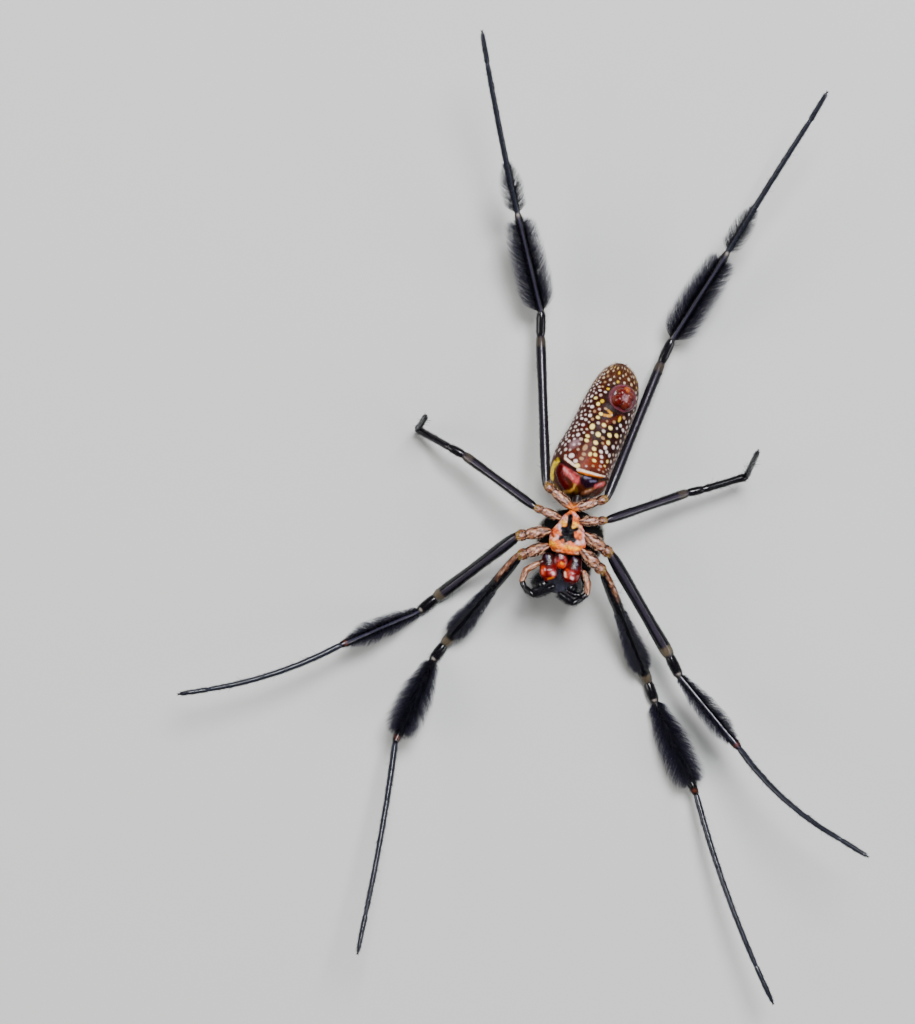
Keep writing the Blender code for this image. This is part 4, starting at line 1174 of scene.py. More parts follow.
# Humps of the breastplate: distance, sideways offset, spread and height
STERNUM_HUMPS = (
    (0.85, 0.0, 0.4, 0.14), (1.3, 0.85, 0.4, 0.26), (2.3, 1.3, 0.42, 0.26), (3.35, 1.4, 0.4, 0.26),
    (4.15, 0.0, 0.7, 0.16), (4.1, 0.95, 0.4, 0.2),
)
sternum_chain, _ = walk(place(*STERNUM_START, 0.0), [(STERNUM_HEADING, 0.0, STERNUM_LENGTH)])


def sternum_relief(distance, turn):
    """Humps on the belly side only, and a rim pressed in along the edge."""
    belly = ramp(np.sin(turn), 0.0, 0.3)
    off = 1.9 * np.cos(turn)
    height = -0.08 * hill(np.abs(np.cos(turn)), 0.93, 0.05)
    for middle, side, spread, tall in STERNUM_HUMPS:
        height = height + tall * hill(distance, middle, spread) * hill(np.abs(off), side, spread)
    return (height + 0.035 * wobble(distance, 2.0 * turn, 4.2)) * belly


# Tint, weight, half width and softness in mm, and points on the plan
STERNUM_MARKS = (
    # The lilac strokes are painted highlights on the humps
    (PAINTED_HIGHLIGHT_LILAC, 0.7, 0.28, 0.22, ((9.9, -1.7), (9.65, -3.3))),
    (PAINTED_HIGHLIGHT_LILAC, 0.6, 0.25, 0.2, ((13.75, -2.0), (13.6, -3.3))),
    (PAINTED_HIGHLIGHT_LILAC, 0.5, 0.25, 0.2, ((11.4, -0.5), (11.0, -0.9))),
    (PEACH, 0.9, 0.25, 0.2, ((13.2, -2.4), (13.25, -2.7))),
    (GOLD, 0.9, 0.24, 0.2, ((11.42, -1.1), (11.5, -1.3))),
    (GOLD, 0.9, 0.26, 0.2, ((12.75, -1.35), (12.6, -1.6))),
    (LIP_ORANGE, 0.5, 0.2, 0.18, ((10.5, -2.0), (10.2, -2.25))),
    (ORANGE, 0.95, 0.3, 0.2, ((9.95, -3.2), (10.65, -3.6), (11.56, -3.9), (12.5, -4.05), (13.1, -3.9))),
    (LIP_ORANGE, 0.45, 0.1, 0.1, ((10.9, -4.0), (11.7, -4.2), (12.6, -4.3))),
    (GOLD, 0.9, 0.16, 0.15, ((11.8, -3.72), (12.25, -3.85))),
    (GOLD, 0.85, 0.18, 0.16, ((10.05, -3.3), (10.4, -3.5))),
    (GOLD, 0.85, 0.16, 0.15, ((12.7, -4.0), (13.0, -3.9))),
    (ORANGE, 0.8, 0.25, 0.2, ((12.36, 0.2), (12.38, 0.0))),
    (BROWN, 0.85, 0.12, 0.1, ((10.22, -2.35), (10.42, -2.65))),
    (BROWN, 0.85, 0.1, 0.1, ((13.1, -2.92), (13.25, -3.1))),
    (MAROON_BLACK, 0.7, 0.06, 0.08, ((9.55, -2.6), (10.0, -2.45))),
    (MAROON_BLACK, 0.7, 0.06, 0.08, ((14.1, -2.3), (13.75, -2.3))),
    (MAROON_BLACK, 0.6, 0.06, 0.08, ((10.5, -1.05), (10.9, -1.2))),
    (MAROON_BLACK, 0.6, 0.06, 0.08, ((13.5, -1.2), (13.2, -1.3))),
    # The lilac strokes are painted highlights on the humps
    (PAINTED_HIGHLIGHT_LILAC, 0.95, 0.2, 0.14, ((11.0, -1.5), (11.15, -1.8))),
    (PAINTED_HIGHLIGHT_LILAC, 0.8, 0.14, 0.12, ((10.8, -2.55), (10.85, -2.8))),
    (PAINTED_HIGHLIGHT_LILAC, 0.95, 0.2, 0.12, ((12.82, -3.25), (13.0, -3.4))),
    (PAINTED_HIGHLIGHT_LILAC, 0.7, 0.12, 0.1, ((12.55, -0.2), (12.95, -0.45))),
    (MARK, 1.0, 0.29, 0.07, ((12.2, -0.5), (12.14, -1.1), (12.05, -1.7))),
    (MARK, 1.0, 0.68, 0.08, ((11.88, -2.2), (11.98, -2.5))),
    (MARK, 1.0, 0.2, 0.07, ((12.05, -2.2), (12.9, -1.85))),
    (MARK, 1.0, 0.3, 0.08, ((12.05, -2.5), (12.55, -3.05))),
    (MARK, 1.0, 0.22, 0.07, ((11.76, -2.4), (11.08, -2.85))),
    (MARK, 1.0, 0.2, 0.07, ((11.76, -2.2), (11.34, -1.75))),
    (MARK, 1.0, 0.22, 0.07, ((11.8, -2.5), (11.72, -3.15))),
)


def plan_of(mesh):
    """Where the points of a mesh are on the plan."""
    spots = np.array([vert.co[:2] for vert in mesh.verts])
    return spots[:, 0] + MIDDLE_X, spots[:, 1] + MIDDLE_Y


def paint_sternum(mesh, turn):
    """Peach with orange hollows and painted highlights on the humps, the dark cross on top, and painted shade
    on the sides.
    """
    x, y = plan_of(mesh)
    rows = coated(len(x), PEACH, 0.26, 0.75, 2.0, 1.0)
    brushed(rows, CREAM, 0.7 * ramp(wobble(x, y, 3.4), 0.0, 0.7))
    brushed(rows, BROWN, 0.55 * ramp(wobble(x + 3.0, y, 4.4), 0.45, 0.8))
    draw_marks(rows, x, y, STERNUM_MARKS, ramp(np.sin(turn), 0.0, 0.2))
    # Painted shade: the sides turn nearly black
    brushed(rows, MAROON_BLACK, 0.95 * (1.0 - ramp(np.sin(turn), 0.02, 0.24)))
    return rows


mesh, along, turn = level_tube(
    sternum_chain, (0.0, STERNUM_LENGTH, STERNUM_SPACING, 0.15, 0.25), STERNUM_ROWS, STERNUM_SIDES,
    sternum_relief)
keep(mesh, paint_sternum(mesh, turn))

# %% [markdown]
# In front of the breastplate lies the lip, with a glossy orange-red maxilla on each side. Their
# roots are dark and their inner edges meet in a grey fringe. Pale strokes on them are painted
# highlights, and painted shade darkens their sides.

# %% Lip and maxillae
MAXILLAE = {"left": ((9.85, -4.75), 271.0), "right": ((12.85, -5.2), 252.0)}
MAXILLA_LENGTH = 2.6
MAXILLA_ROWS = (
    (0.0, 0.68, 7.2, 8.0), (0.5, 0.82, 7.2, 8.15), (1.0, 0.95, 7.2, 8.32), (1.6, 1.06, 7.2, 8.55),
    (2.15, 0.98, 7.3, 8.5), (2.6, 0.58, 7.5, 8.15),
)
LIP_SPOT = (11.16, -5.3, 7.8)
LIP_RADII = (0.86, 1.05, 0.5)
MOUTH_MARKS = (
    (LIP_ORANGE, 0.65, 0.2, 0.22, ((9.25, -6.05), (9.2, -6.6))),
    # Pink and white strokes on the maxillae are painted highlights
    (PAINTED_HIGHLIGHT_PINK, 0.7, 0.26, 0.25, ((10.15, -6.5), (10.4, -6.75))),
    (ORANGE, 0.8, 0.12, 0.12, ((9.9, -7.25), (10.4, -7.1))),
    (PAINTED_HIGHLIGHT_WHITE, 0.9, 0.12, 0.12, ((10.25, -6.55), (10.38, -6.7))),
    (PAINTED_HIGHLIGHT_WHITE, 0.5, 0.05, 0.06, ((9.45, -6.15), (9.42, -6.3))),
    (PAINTED_HIGHLIGHT_PINK, 0.6, 0.24, 0.25, ((12.3, -6.6), (12.35, -7.0))),
    (PAINTED_HIGHLIGHT_WHITE, 0.9, 0.12, 0.12, ((12.3, -7.1), (12.42, -7.2))),
    (CREAM, 0.8, 0.1, 0.08, ((11.62, -6.5), (11.7, -7.0))),
    (LIP_ORANGE, 0.5, 0.14, 0.16, ((11.9, -6.3), (11.9, -7.0))),
    (MAROON_BLACK, 0.95, 0.66, 0.3, ((9.8, -4.6), (9.7, -5.2))),
    (MAROON_BLACK, 0.95, 0.6, 0.3, ((12.85, -4.8), (12.85, -5.6))),
    # Blue-grey strokes on the maxillae's roots are painted highlights
    (PAINTED_SHEEN_BLUE, 0.5, 0.08, 0.1, ((9.6, -4.75), (9.75, -5.1))),
    (PAINTED_SHEEN_BLUE, 0.6, 0.07, 0.08, ((12.5, -4.8), (12.75, -5.3), (12.95, -5.7))),
    (PAINTED_SHEEN_BLUE, 0.5, 0.05, 0.06, ((12.9, -6.0), (12.85, -6.3))),
)
LIP_MARKS = (
    (MAROON_BLACK, 0.9, 0.4, 0.3, ((10.5, -4.5), (11.9, -4.5))),
    # Lilac and pink strokes on the lip are painted highlights
    (PAINTED_HIGHLIGHT_LILAC, 0.5, 0.08, 0.1, ((11.05, -4.7), (11.4, -4.75))),
    (PAINTED_HIGHLIGHT_PINK, 0.6, 0.1, 0.12, ((11.05, -5.0), (10.9, -5.3))),
    (PINK, 0.7, 0.1, 0.12, ((11.55, -4.9), (11.65, -5.2))),
    (LIP_ORANGE, 0.95, 0.28, 0.22, ((11.15, -5.7), (11.45, -5.8))),
    (GOLD, 0.8, 0.1, 0.1, ((11.25, -5.55), (11.4, -5.65))),
)


def paint_mouth(mesh, turn, marks):
    """Glossy dark red with orange marks and painted pink and white highlights, and painted shade that turns
    the sides nearly black.
    """
    x, y = plan_of(mesh)
    rows = coated(len(x), LIP_RED, 0.14, 0.6, 1.4)
    draw_marks(rows, x, y, marks, 1.0)
    # Painted shade at the sides
    brushed(rows, MAROON_BLACK, 1.0 - ramp(np.sin(turn), 0.3, 0.7))
    return rows


for (x, y), heading in MAXILLAE.values():
    chain, _ = walk(place(x, y, 0.0), [(heading, 0.0, MAXILLA_LENGTH)])
    mesh, along, turn = level_tube(chain, (0.1, MAXILLA_LENGTH, 0.09, 0.5, 0.2), MAXILLA_ROWS, 44)
    keep(mesh, paint_mouth(mesh, turn, MOUTH_MARKS))

lip = ball(place(*LIP_SPOT), LIP_RADII, 44, 24)
lip_lift = np.array([vert.co.z for vert in lip.verts]) - LIP_SPOT[2]
keep(lip, paint_mouth(lip, np.arcsin(np.clip(lip_lift / LIP_RADII[2], -1.0, 1.0)), LIP_MARKS))

# %% [markdown]
# ## The palps
#
# Two short feelers arch forwards on both sides of the jaws: a pale first half, then black and
# hairy, bent inwards in front of the mouth.

# %% Palps
# Start, then the runs of each piece: thigh, knee, shin and foot
PALPS = {
    "left": ((8.75, -5.55, 7.8), (((208.0, 3.0, 1.5), (249.0, 6.0, 1.3)), ((292.0, 12.0, 0.8),),
                                  ((320.0, 18.0, 1.3),), ((24.0, 3.0, 2.3),))),
    "right": ((13.7, -6.55, 7.8), (((290.0, 5.0, 1.25), (264.0, 5.0, 1.15)), ((222.0, 12.0, 0.7),),
                                   ((208.0, 18.0, 1.25),), ((144.0, 3.0, 1.7),))),
}
PALP_WIDTHS = (0.37, 0.31, 0.33, 0.36)
# Shares of a piece's length, and shares of its half width there
PALP_SHAPE = ((0.0, 0.2, 0.7, 1.0), (0.8, 1.0, 1.0, 0.82))
PALP_ROOTS = (
    ((9.4, -5.3, 7.75), (8.7, -5.6, 7.8)), ((13.0, -6.2, 7.75), (13.75, -6.6, 7.8)),
)


def paint_palp(number, distance, turn):
    """The thigh is tan, with cream on top that is partly a painted highlight and painted shade on its far
    side; the other pieces are black.
    """
    if number == 0:
        rows = coated(len(turn), TAN, 0.24, 0.8, 2.0)
        # Cream on top: partly the thigh's pale colour, partly a painted highlight
        brushed(rows, CREAM, 0.7 * ramp(np.sin(turn) + 0.4 * wobble(distance, turn, 3.6), 0.8, 1.1))
        brushed(rows, BROWN, 0.8 * ramp(wobble(distance + 4.0, 2.0 * turn, 4.4), 0.1, 0.5))
        # Painted shade on the far side
        brushed(rows, MAROON_BLACK, 1.0 - ramp(np.sin(turn), 0.25, 0.8))
        return rows
    return coated(len(turn), BLACK, 0.12, 0.0, 1.0)


palp_pieces = []
for side, (start, pieces) in PALPS.items():
    point = place(*start)
    for number, runs in enumerate(pieces):
        chain, point = walk(point, runs)
        length = sum(run[3] for run in chain)
        full = PALP_WIDTHS[number]
        mesh, along, turn = round_tube(
            chain, (0.0, length, 0.12, 0.25, 0.3),
            lambda distance: full * soft_curve(distance / length, *PALP_SHAPE), 22)
        keep(mesh, paint_palp(number, along, turn))
        palp_pieces.append((side, number, chain, length, full))
# A short root ties each palp to its maxilla
for start, end in PALP_ROOTS:
    first, last = place(*start), place(*end)
    root = leaned_ball(0.5 * (first + last), unit(last - first), 0.3, 0.62, 20)
    keep(root, coated(len(root.verts), BROWN, 0.3, 0.4))

# %% [markdown]
# ## Eyes
#
# Eight small eyes stand on the brow: four in the middle, and two on a low hump at each side. The
# brow is a long, low ball across the head. It and the humps belong to the skin, and the eyes are
# dark glass beads, half sunk in it.

# %% Eye places
EYE_NODES = [f"eye_{row}_{place_name}_{side}" for row in ("front", "rear")
             for place_name in ("median", "lateral") for side in ("left", "right")]
# In radii of an eye: how wide its hump is and how far it rises out of it. In mm: how far it sinks
EYE_HUMP = 2.1
EYE_RISE = 0.25
EYE_SINK = 0.12
# Distance along the carapace and height of the middle of the brow
BROW = (9.2, 4.35)
BROW_RADII = (2.35, 0.75, 0.9)
HEAD_MIDDLE = (8.6, 4.3)


def head_spot(distance, height):
    """The point over the middle line of the carapace at a distance and a height."""
    spot = frames_on(carapace_chain, np.array([distance]))[0][0]
    spot[2] = height
    return spot


brow_turn = Matrix.Rotation(math.radians(BODY_HEADING - 270.0), 3, "Z")
brow_middle = head_spot(*BROW)
brow = ball(brow_middle, BROW_RADII, 64, 32, brow_turn)
keep(brow, coated(len(brow.verts), CARAPACE_DARK, 0.45, 0.3, 1.5))
head_middle = head_spot(*HEAD_MIDDLE)
eye_spots = {}
for node in EYE_NODES:
    low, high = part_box(node)
    middle = np.array((low + high) / 2) / MM
    radius = 0.5 * (high - low).z / MM
    inward = unit(head_middle - middle)
    middle = middle + inward * EYE_SINK
    eye_spots[node] = (middle, radius)
    hump = ball(middle + inward * (EYE_HUMP - EYE_RISE) * radius, [EYE_HUMP * radius] * 3, 32, 22)
    keep(hump, coated(len(hump.verts), CARAPACE_DARK, 0.4, 0.3, 1.5))
print("eyes:", len(eye_spots), "parts of the skin:", len(flesh))

# %% [markdown]
# ## One skin
#
# All parts are closed and overlap a little, so one union makes a single skin without a seam.
# The union keeps the old points where they are, so afterwards each point takes the paint of the
# nearest painted point.

# %% The union
def fuse(parts):
    """Union closed parts into one mesh, and return its data with the paint of the nearest points."""
    painted = np.concatenate([[vert.co[:] for vert in mesh.verts] for mesh, _ in parts])
    paint = np.concatenate([rows for _, rows in parts])
    pile = bpy.data.collections.new("skin_parts")
    bpy.context.scene.collection.children.link(pile)
    things = [
        put_in_scene(f"part_{number}", mesh_data("part", mesh)) for number, (mesh, _) in enumerate(parts)]
    for thing in things[1:]:
        bpy.context.scene.collection.objects.unlink(thing)
        pile.objects.link(thing)
    union = things[0].modifiers.new("union", "BOOLEAN")
    union.operation = "UNION"
    union.operand_type = "COLLECTION"
    union.collection = pile
    union.solver = "MANIFOLD"
    shape = bpy.context.evaluated_depsgraph_get()
    data = bpy.data.meshes.new_from_object(things[0].evaluated_get(shape))
    for thing in things:
        bpy.data.objects.remove(thing, do_unlink=True)
    bpy.data.collections.remove(pile)
    tree = KDTree(len(painted))
    for number, point in enumerate(painted):
        tree.insert(point, number)
    tree.balance()
    nearest = [tree.find(vert.co)[1] for vert in data.vertices]
    return data, paint[nearest]


def paint_mesh(data, rows):
    """Store paint rows on a mesh as the two attributes that the cuticle reads."""
    tint = data.attributes.new("tint", "FLOAT_COLOR", "POINT")
    opaque = np.hstack((rows[:, :3], np.ones((len(rows), 1))))
    tint.data.foreach_set("color", opaque.astype(np.float32).ravel())
    finish = data.attributes.new("finish", "FLOAT_VECTOR", "POINT")
    finish.data.foreach_set("vector", rows[:, ROUGH:BUMP + 1].astype(np.float32).ravel())


CREASE = math.radians(42.0)


def root_piece(name, data):
    """Put finished mesh data in the scene as a piece that rides on the root."""
    piece = put_in_scene(name, data)
    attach(piece, "root")
    return piece


def finish_piece(name, data, material, nodes):
    """Bring a painted mesh in mm to real size, and make it a piece in the place of some nodes."""
    data.transform(Matrix.Scale(MM, 4))
    data.materials.clear()
    data.materials.append(material)
    data.shade_smooth()
    data.set_sharp_from_angle(angle=CREASE)
    data.name = name
    piece = root_piece(name, data)
    if nodes:
        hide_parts(*nodes)


skin_data, skin_paint = fuse(flesh)
paint_mesh(skin_data, skin_paint)
apart = ("chelicera", "fang", "eye")
flesh_nodes = [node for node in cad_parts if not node.startswith(apart)]
finish_piece("skin", skin_data, CUTICLE, flesh_nodes)
skin_data.materials.append(SOFT_SKIN)
soft_face = [bool(skin_paint[face.vertices[0], SOFT] > 0.5) for face in skin_data.polygons]
skin_data.polygons.foreach_set("material_index", soft_face)
print("skin triangles:", sum(len(face.vertices) - 2 for face in skin_data.polygons))

# %% [markdown]
# ## Jaws, fangs, eyes and claws
#
# The jaws are stout, black and polished, and stand under the brow. Each is a ball that is drawn
# out along its axis, slimmer towards the end, and carries a curved fang that folds inwards. The
# claws are three tiny hooks on each foot.

# %% Parts that stay separate
def join_parts(parts):
    """Put several painted meshes into one, with their paint rows in the same order."""
    whole = bmesh.new()
    for mesh, _ in parts:
        data = mesh_data("part", mesh)
        whole.from_mesh(data)
        bpy.data.meshes.remove(data)
    data = mesh_data("parts", whole)
    paint_mesh(data, np.concatenate([rows for _, rows in parts]))
    return data


JAWS = {"left": (9.35, -7.6), "right": (12.3, -8.0)}
JAW_LEAN = (BODY_HEADING, 72.0)
JAW_MIDDLE = 6.15
JAW_RADII = (1.3, 1.75)
JAW_TAPER = 0.2
JAW_WAVE = 0.03
jaw_axis = directions(*JAW_LEAN)
for side, (x, y) in JAWS.items():
    jaw_spot = place(x, y, JAW_MIDDLE)
    jaw = leaned_ball(jaw_spot, jaw_axis, *JAW_RADII, 56)
    for vert in jaw.verts:
        off = np.array(vert.co) - jaw_spot
        along = float(off @ jaw_axis)
        slim = 1.0 - JAW_TAPER * along / JAW_RADII[1] + JAW_WAVE * math.sin(5.0 * along)
        vert.co = jaw_spot + jaw_axis * along + (off - jaw_axis * along) * slim
    rows = coated(len(jaw.verts), BLACK, 0.2, 0.0, 0.5)
    finish_piece(f"jaw_{side}", join_parts([(jaw, rows)]), JAW_CUTICLE, [f"chelicera_{side}"])

FANGS = {"left": ((8.35, -8.45), (352.0, 12.0, 38.0)), "right": ((13.15, -9.05), (172.0, 152.0, 128.0))}
FANG_HEIGHT = 7.62
FANG_RUN = 0.65
FANG_SHAPE = ((0.0, 0.5, 1.3, 1.95), (0.36, 0.33, 0.2, 0.06))
for side, ((x, y), headings) in FANGS.items():
    chain, _ = walk(place(x, y, FANG_HEIGHT), [(heading, 0.0, FANG_RUN) for heading in headings])
    mesh, along, _ = round_tube(
        chain, (0.0, 3.0 * FANG_RUN, 0.07, 0.36, 0.04),
        lambda distance: soft_curve(distance, *FANG_SHAPE), 20)
    rows = coated(len(along), BLACK, 0.08, 0.0, 0.6)
    brushed(rows, PURPLE, 0.5 * hill(along, 1.2, 0.4))
    finish_piece(f"fang_tip_{side}", join_parts([(mesh, rows)]), JAW_CUTICLE, [f"fang_{side}"])

# %% Eyes and claws
def glass_material():
    """Dark, wet glass for the eyes, browner at the rim."""
    material, nodes, links, shader = new_material("eye_glass")
    shader.inputs["Roughness"].default_value = 0.05
    shader.inputs["Coat Weight"].default_value = 1.0
    shader.inputs["Coat Roughness"].default_value = 0.02
    rim = add_node(nodes, "LayerWeight", {"Blend": 0.25})
    depth = add_node(nodes, "Mix", {"A": (*EYE_DARK, 1.0), "B": (*EYE_RIM, 1.0)}, data_type="RGBA")
    links.new(rim.outputs["Facing"], depth.inputs["Factor"])
    links.new(depth.outputs["Result"], shader.inputs["Base Color"])
    return material


beads = []
for middle, radius in eye_spots.values():
    bead = ball(middle, [radius] * 3, 28, 18)
    beads.append((bead, coated(len(bead.verts), BLACK, 0.05, 0.0)))
finish_piece("eyes", join_parts(beads), glass_material(), EYE_NODES)

CLAW_RUN = 0.13
CLAW_SHAPE = ((0.0, 0.2, 0.52), (0.055, 0.045, 0.01))
# How far each claw turns off the foot's line, and how much lower it points
CLAW_TURNS = ((-22.0, 0.0), (22.0, 0.0), (0.0, -18.0))
claws = []
for leg in LEGS:
    tarsus = leg["pieces"]["tarsus"]
    _, heading, pitch, _ = tarsus["chain"][0]
    tip = frames_on(tarsus["chain"], np.array([tarsus["length"] - 0.02]))[0][0]
    for turn_off, drop in CLAW_TURNS:
        runs = [(heading + turn_off, pitch + 24.0 + drop - 26.0 * step, CLAW_RUN) for step in range(4)]
        chain, _ = walk(tip, runs)
        mesh, along, _ = round_tube(
            chain, (0.0, 4.0 * CLAW_RUN, 0.06, 0.03, 0.01),
            lambda distance: soft_curve(distance, *CLAW_SHAPE), 8)
        claws.append((mesh, coated(len(along), BLACK, 0.15, 0.0)))
finish_piece("claws", join_parts(claws), JAW_CUTICLE, [])
print("claws:", len(claws))

# %% [markdown]
# ## Hair
#
# One hair is a thin cone, cut into a few lengths so that it can bend. It is modelled once, and
# array sums then lay thousands of copies of it along the legs: rooted in the skin, leaning over
# at the root and lying down towards the tip. Each hair keeps the paint of its root, and its map
# named OFBake folds it into a tiny patch at its root's place on the unrolled skin.

# %% One hair, and many
HAIR_SIDES = 3
HAIR_KNOTS = 3
SHORT_KNOTS = 2
OFBAKE_PATCH = 0.003
HAIR_FLOOR = 0.03


def hair_template(knots, sides):
    """Points and triangles of one hair: across, thin way and the number of the knot it is on."""
    mesh = bmesh.new()
    bmesh.ops.create_cone(mesh, cap_ends=True, segments=sides, radius1=1.0, radius2=0.0, depth=1.0)
    bmesh.ops.translate(mesh, vec=(0.0, 0.0, 0.5), verts=mesh.verts)
    for knot in range(1, knots):
        bmesh.ops.bisect_plane(mesh, geom=mesh.verts[:] + mesh.edges[:] + mesh.faces[:],
                               plane_co=(0.0, 0.0, knot / knots), plane_no=(0.0, 0.0, 1.0))
    bmesh.ops.triangulate(mesh, faces=mesh.faces)
    mesh.verts.index_update()
    points = np.array([vert.co[:] for vert in mesh.verts])
    faces = np.array([[vert.index for vert in face.verts] for face in mesh.faces])
    mesh.free()
    knot_of = np.rint(points[:, 2] * knots).astype(int)
    fuller = np.where(knot_of < knots, (1.0 - knot_of / knots) ** -0.45, 1.0)
    return points[:, 0] * fuller, points[:, 1] * fuller, knot_of, faces


TEMPLATES = {knots: hair_template(knots, HAIR_SIDES) for knots in (SHORT_KNOTS, HAIR_KNOTS)}


def grow(roots, out, lie, length, width, leans, tint, rough, sheet, knots=HAIR_KNOTS, flat=0.6, tips=0.0):
    """Lay one hair on each root. Leans are degrees off the skin at root and tip.

    Length, width and leans hold a value for each hair, and sheet is each root's place on the
    unrolled skin. Tips is how much lighter hairs are at their tips.
    """
    across, thin, knot_of, faces = TEMPLATES[knots]
    broad = np.cross(out, lie)
    count = len(roots)
    path = [roots]
    for knot in range(knots):
        lean = np.radians(mix(leans[0], leans[1], knot / max(knots - 1, 1)))[:, None]
        step = (length / knots)[:, None]
        path.append(path[-1] + (lie * np.cos(lean) + out * np.sin(lean)) * step)
    path = np.stack(path)
    lean = np.radians(mix(leans[0], leans[1], 0.5))[:, None]
    thin_way = out * np.cos(lean) - lie * np.sin(lean)
    points = path[knot_of].transpose(1, 0, 2)
    points = points + broad[:, None, :] * (width[:, None] * across)[..., None]
    points = points + thin_way[:, None, :] * (width[:, None] * thin * flat)[..., None]
    points[..., 2] = np.maximum(points[..., 2], HAIR_FLOOR)
    patch = OFBAKE_PATCH * np.stack((0.5 * across, knot_of / knots - 0.5), axis=-1)
    fade = 1.0 + np.multiply.outer(np.full(count, tips), knot_of / knots)
    return {
        "points": points.reshape(-1, 3),
        "faces": (faces[None] + (np.arange(count) * len(across))[:, None, None]).reshape(-1, 3),
        "sheet": (sheet[:, None, :] + patch[None]).reshape(-1, 2),
        "tint": np.repeat(tint, len(across), axis=0) * fade.reshape(-1, 1),
        "rough": np.full(count * len(across), rough),
    }


def coat_piece(name, batches, material):
    """Join batches of hairs into one piece with their paint and their OFBake map."""
    offsets = np.cumsum([0] + [len(batch["points"]) for batch in batches])
    points = np.concatenate([batch["points"] for batch in batches])
    faces = np.concatenate([batch["faces"] + offset for batch, offset in zip(batches, offsets)])
    data = bpy.data.meshes.new(name)
    data.vertices.add(len(points))
    data.vertices.foreach_set("co", (points * MM).astype(np.float32).ravel())
    data.loops.add(faces.size)
    data.loops.foreach_set("vertex_index", faces.astype(np.int32).ravel())
    data.polygons.add(len(faces))
    data.polygons.foreach_set("loop_start", np.arange(0, faces.size, 3, dtype=np.int32))
    data.update(calc_edges=True)
    sheet = np.concatenate([batch["sheet"] for batch in batches])
    bake = data.uv_layers.new(name="OFBake")
    bake.data.foreach_set("uv", sheet[faces.ravel()].astype(np.float32).ravel())
    tint = np.concatenate([batch["tint"] for batch in batches])
    rough = np.concatenate([batch["rough"] for batch in batches])
    paint_mesh(data, np.hstack((tint, rough[:, None], np.zeros((len(rough), 2)))))
    data.materials.append(material)
    data.shade_smooth()
    root_piece(name, data)
    print(name, "triangles:", len(faces))
    return len(faces)


# %% Material of the hair
HAIR_TONE_SCALE = 3000.0
HAIR_TONES = {"To Min": 0.6, "To Max": 1.5}


def hair_material():
    """Fine hair: the root's tint, a little lighter and darker along the coat, and a soft gloss."""
    material, nodes, links, shader = new_material("hair")
    shader.inputs["Specular IOR Level"].default_value = 0.25
    tint, rough, _, _ = paint_nodes(nodes, links)
    place_of = add_node(nodes, "TexCoord")
    tone = add_node(nodes, "TexNoise", {"Scale": HAIR_TONE_SCALE})
    shade = add_node(nodes, "MapRange", HAIR_TONES)
    stronger = add_node(nodes, "VectorMath", operation="SCALE")
    links.new(rough, shader.inputs["Roughness"])
    links.new(place_of.outputs["Object"], tone.inputs["Vector"])
    links.new(tone.outputs["Fac"], shade.inputs["Value"])
    links.new(tint, stronger.inputs[0])
    links.new(shade.outputs["Result"], stronger.inputs["Scale"])
    links.new(stronger.outputs["Vector"], shader.inputs["Base Color"])
    return material


HAIR = hair_material()

# %% [markdown]
# ## The brushes and the short hair of the legs
#
# This species is known by its bottle brushes. They stand on the far half of the front thighs, on
# the first, second and last shins, and on the root of the last feet. The hairs lean forwards
# along the leg and stop short of the joint. A bare, glossy line runs down the belly side of most
# brushes, narrow on the front thighs and wide on the last legs.

# %% Sizes of the brushes
# From and to are shares of the leg piece. The reach is how far hairs stand from its middle line,
# and the profile is the share of the reach at the brush's start, third, second third and end. The
# density is hairs for each mm2, the parting is half the bare line's turn, and the last hairs stand
# off by no more than the end's height.
BRUSHES = {
    ("femur", 1): {"from": 0.36, "to": 0.87, "reach": 1.66, "density": 130.0, "parting": 0.28,
                   "profile": (0.58, 0.78, 1.0, 0.8), "end": 0.2},
    ("tibia", 1): {"from": 0.01, "to": 0.87, "reach": 2.35, "density": 155.0, "parting": 0.0,
                   "profile": (0.55, 0.98, 1.0, 0.8), "end": 0.5},
    ("tibia", 2): {"from": 0.02, "to": 0.88, "reach": 1.6, "density": 140.0, "parting": 0.5,
                   "profile": (0.5, 0.92, 1.0, 0.55), "end": 0.5},
    ("tibia", 4): {"from": 0.02, "to": 0.9, "reach": 2.35, "density": 160.0, "parting": 0.8,
                   "profile": (0.95, 1.0, 0.95, 0.75), "end": 0.55},
    ("metatarsus", 4): {"from": 0.02, "to": 0.34, "reach": 1.5, "density": 120.0, "parting": 0.75,
                        "profile": (0.95, 1.0, 0.8, 0.45), "end": 0.55},
}
BRUSH_LEANS = (54.0, 33.0)
BRUSH_LEAST = 0.15
ROOT_DEPTH = 0.95
HAIR_SEED = 5


def leg_roots(leg, piece, share, turn):
    """Roots on a leg piece with the ways out and along, and their places on the unrolled skin."""
    data = leg["pieces"][piece]
    distance = share * data["length"]
    centre, side, up, forward = frames_on(data["chain"], distance)
    out = around(side, up, turn)
    root = centre + out * (ROOT_DEPTH * leg_width(piece, data, distance))[:, None]
    across = (LEGS.index(leg) + np.mod(turn / (2.0 * math.pi), 1.0)) / len(LEGS)
    sheet = np.stack((across, (data["before"] + distance) / leg["length"]), axis=-1)
    return root, out, forward, sheet


def swayed(lie, out, draw, spread):
    """Turn each lie a little to one side or the other."""
    sway = np.radians(draw.normal(0.0, spread, len(lie)))[:, None]
    return lie * np.cos(sway) + np.cross(out, lie) * np.sin(sway)


def toned(tint, count, draw, spread=0.25):
    """A tint for each hair, some lighter and some darker."""
    return np.array(tint) * draw.uniform(1.0 - spread, 1.0 + spread, (count, 1))


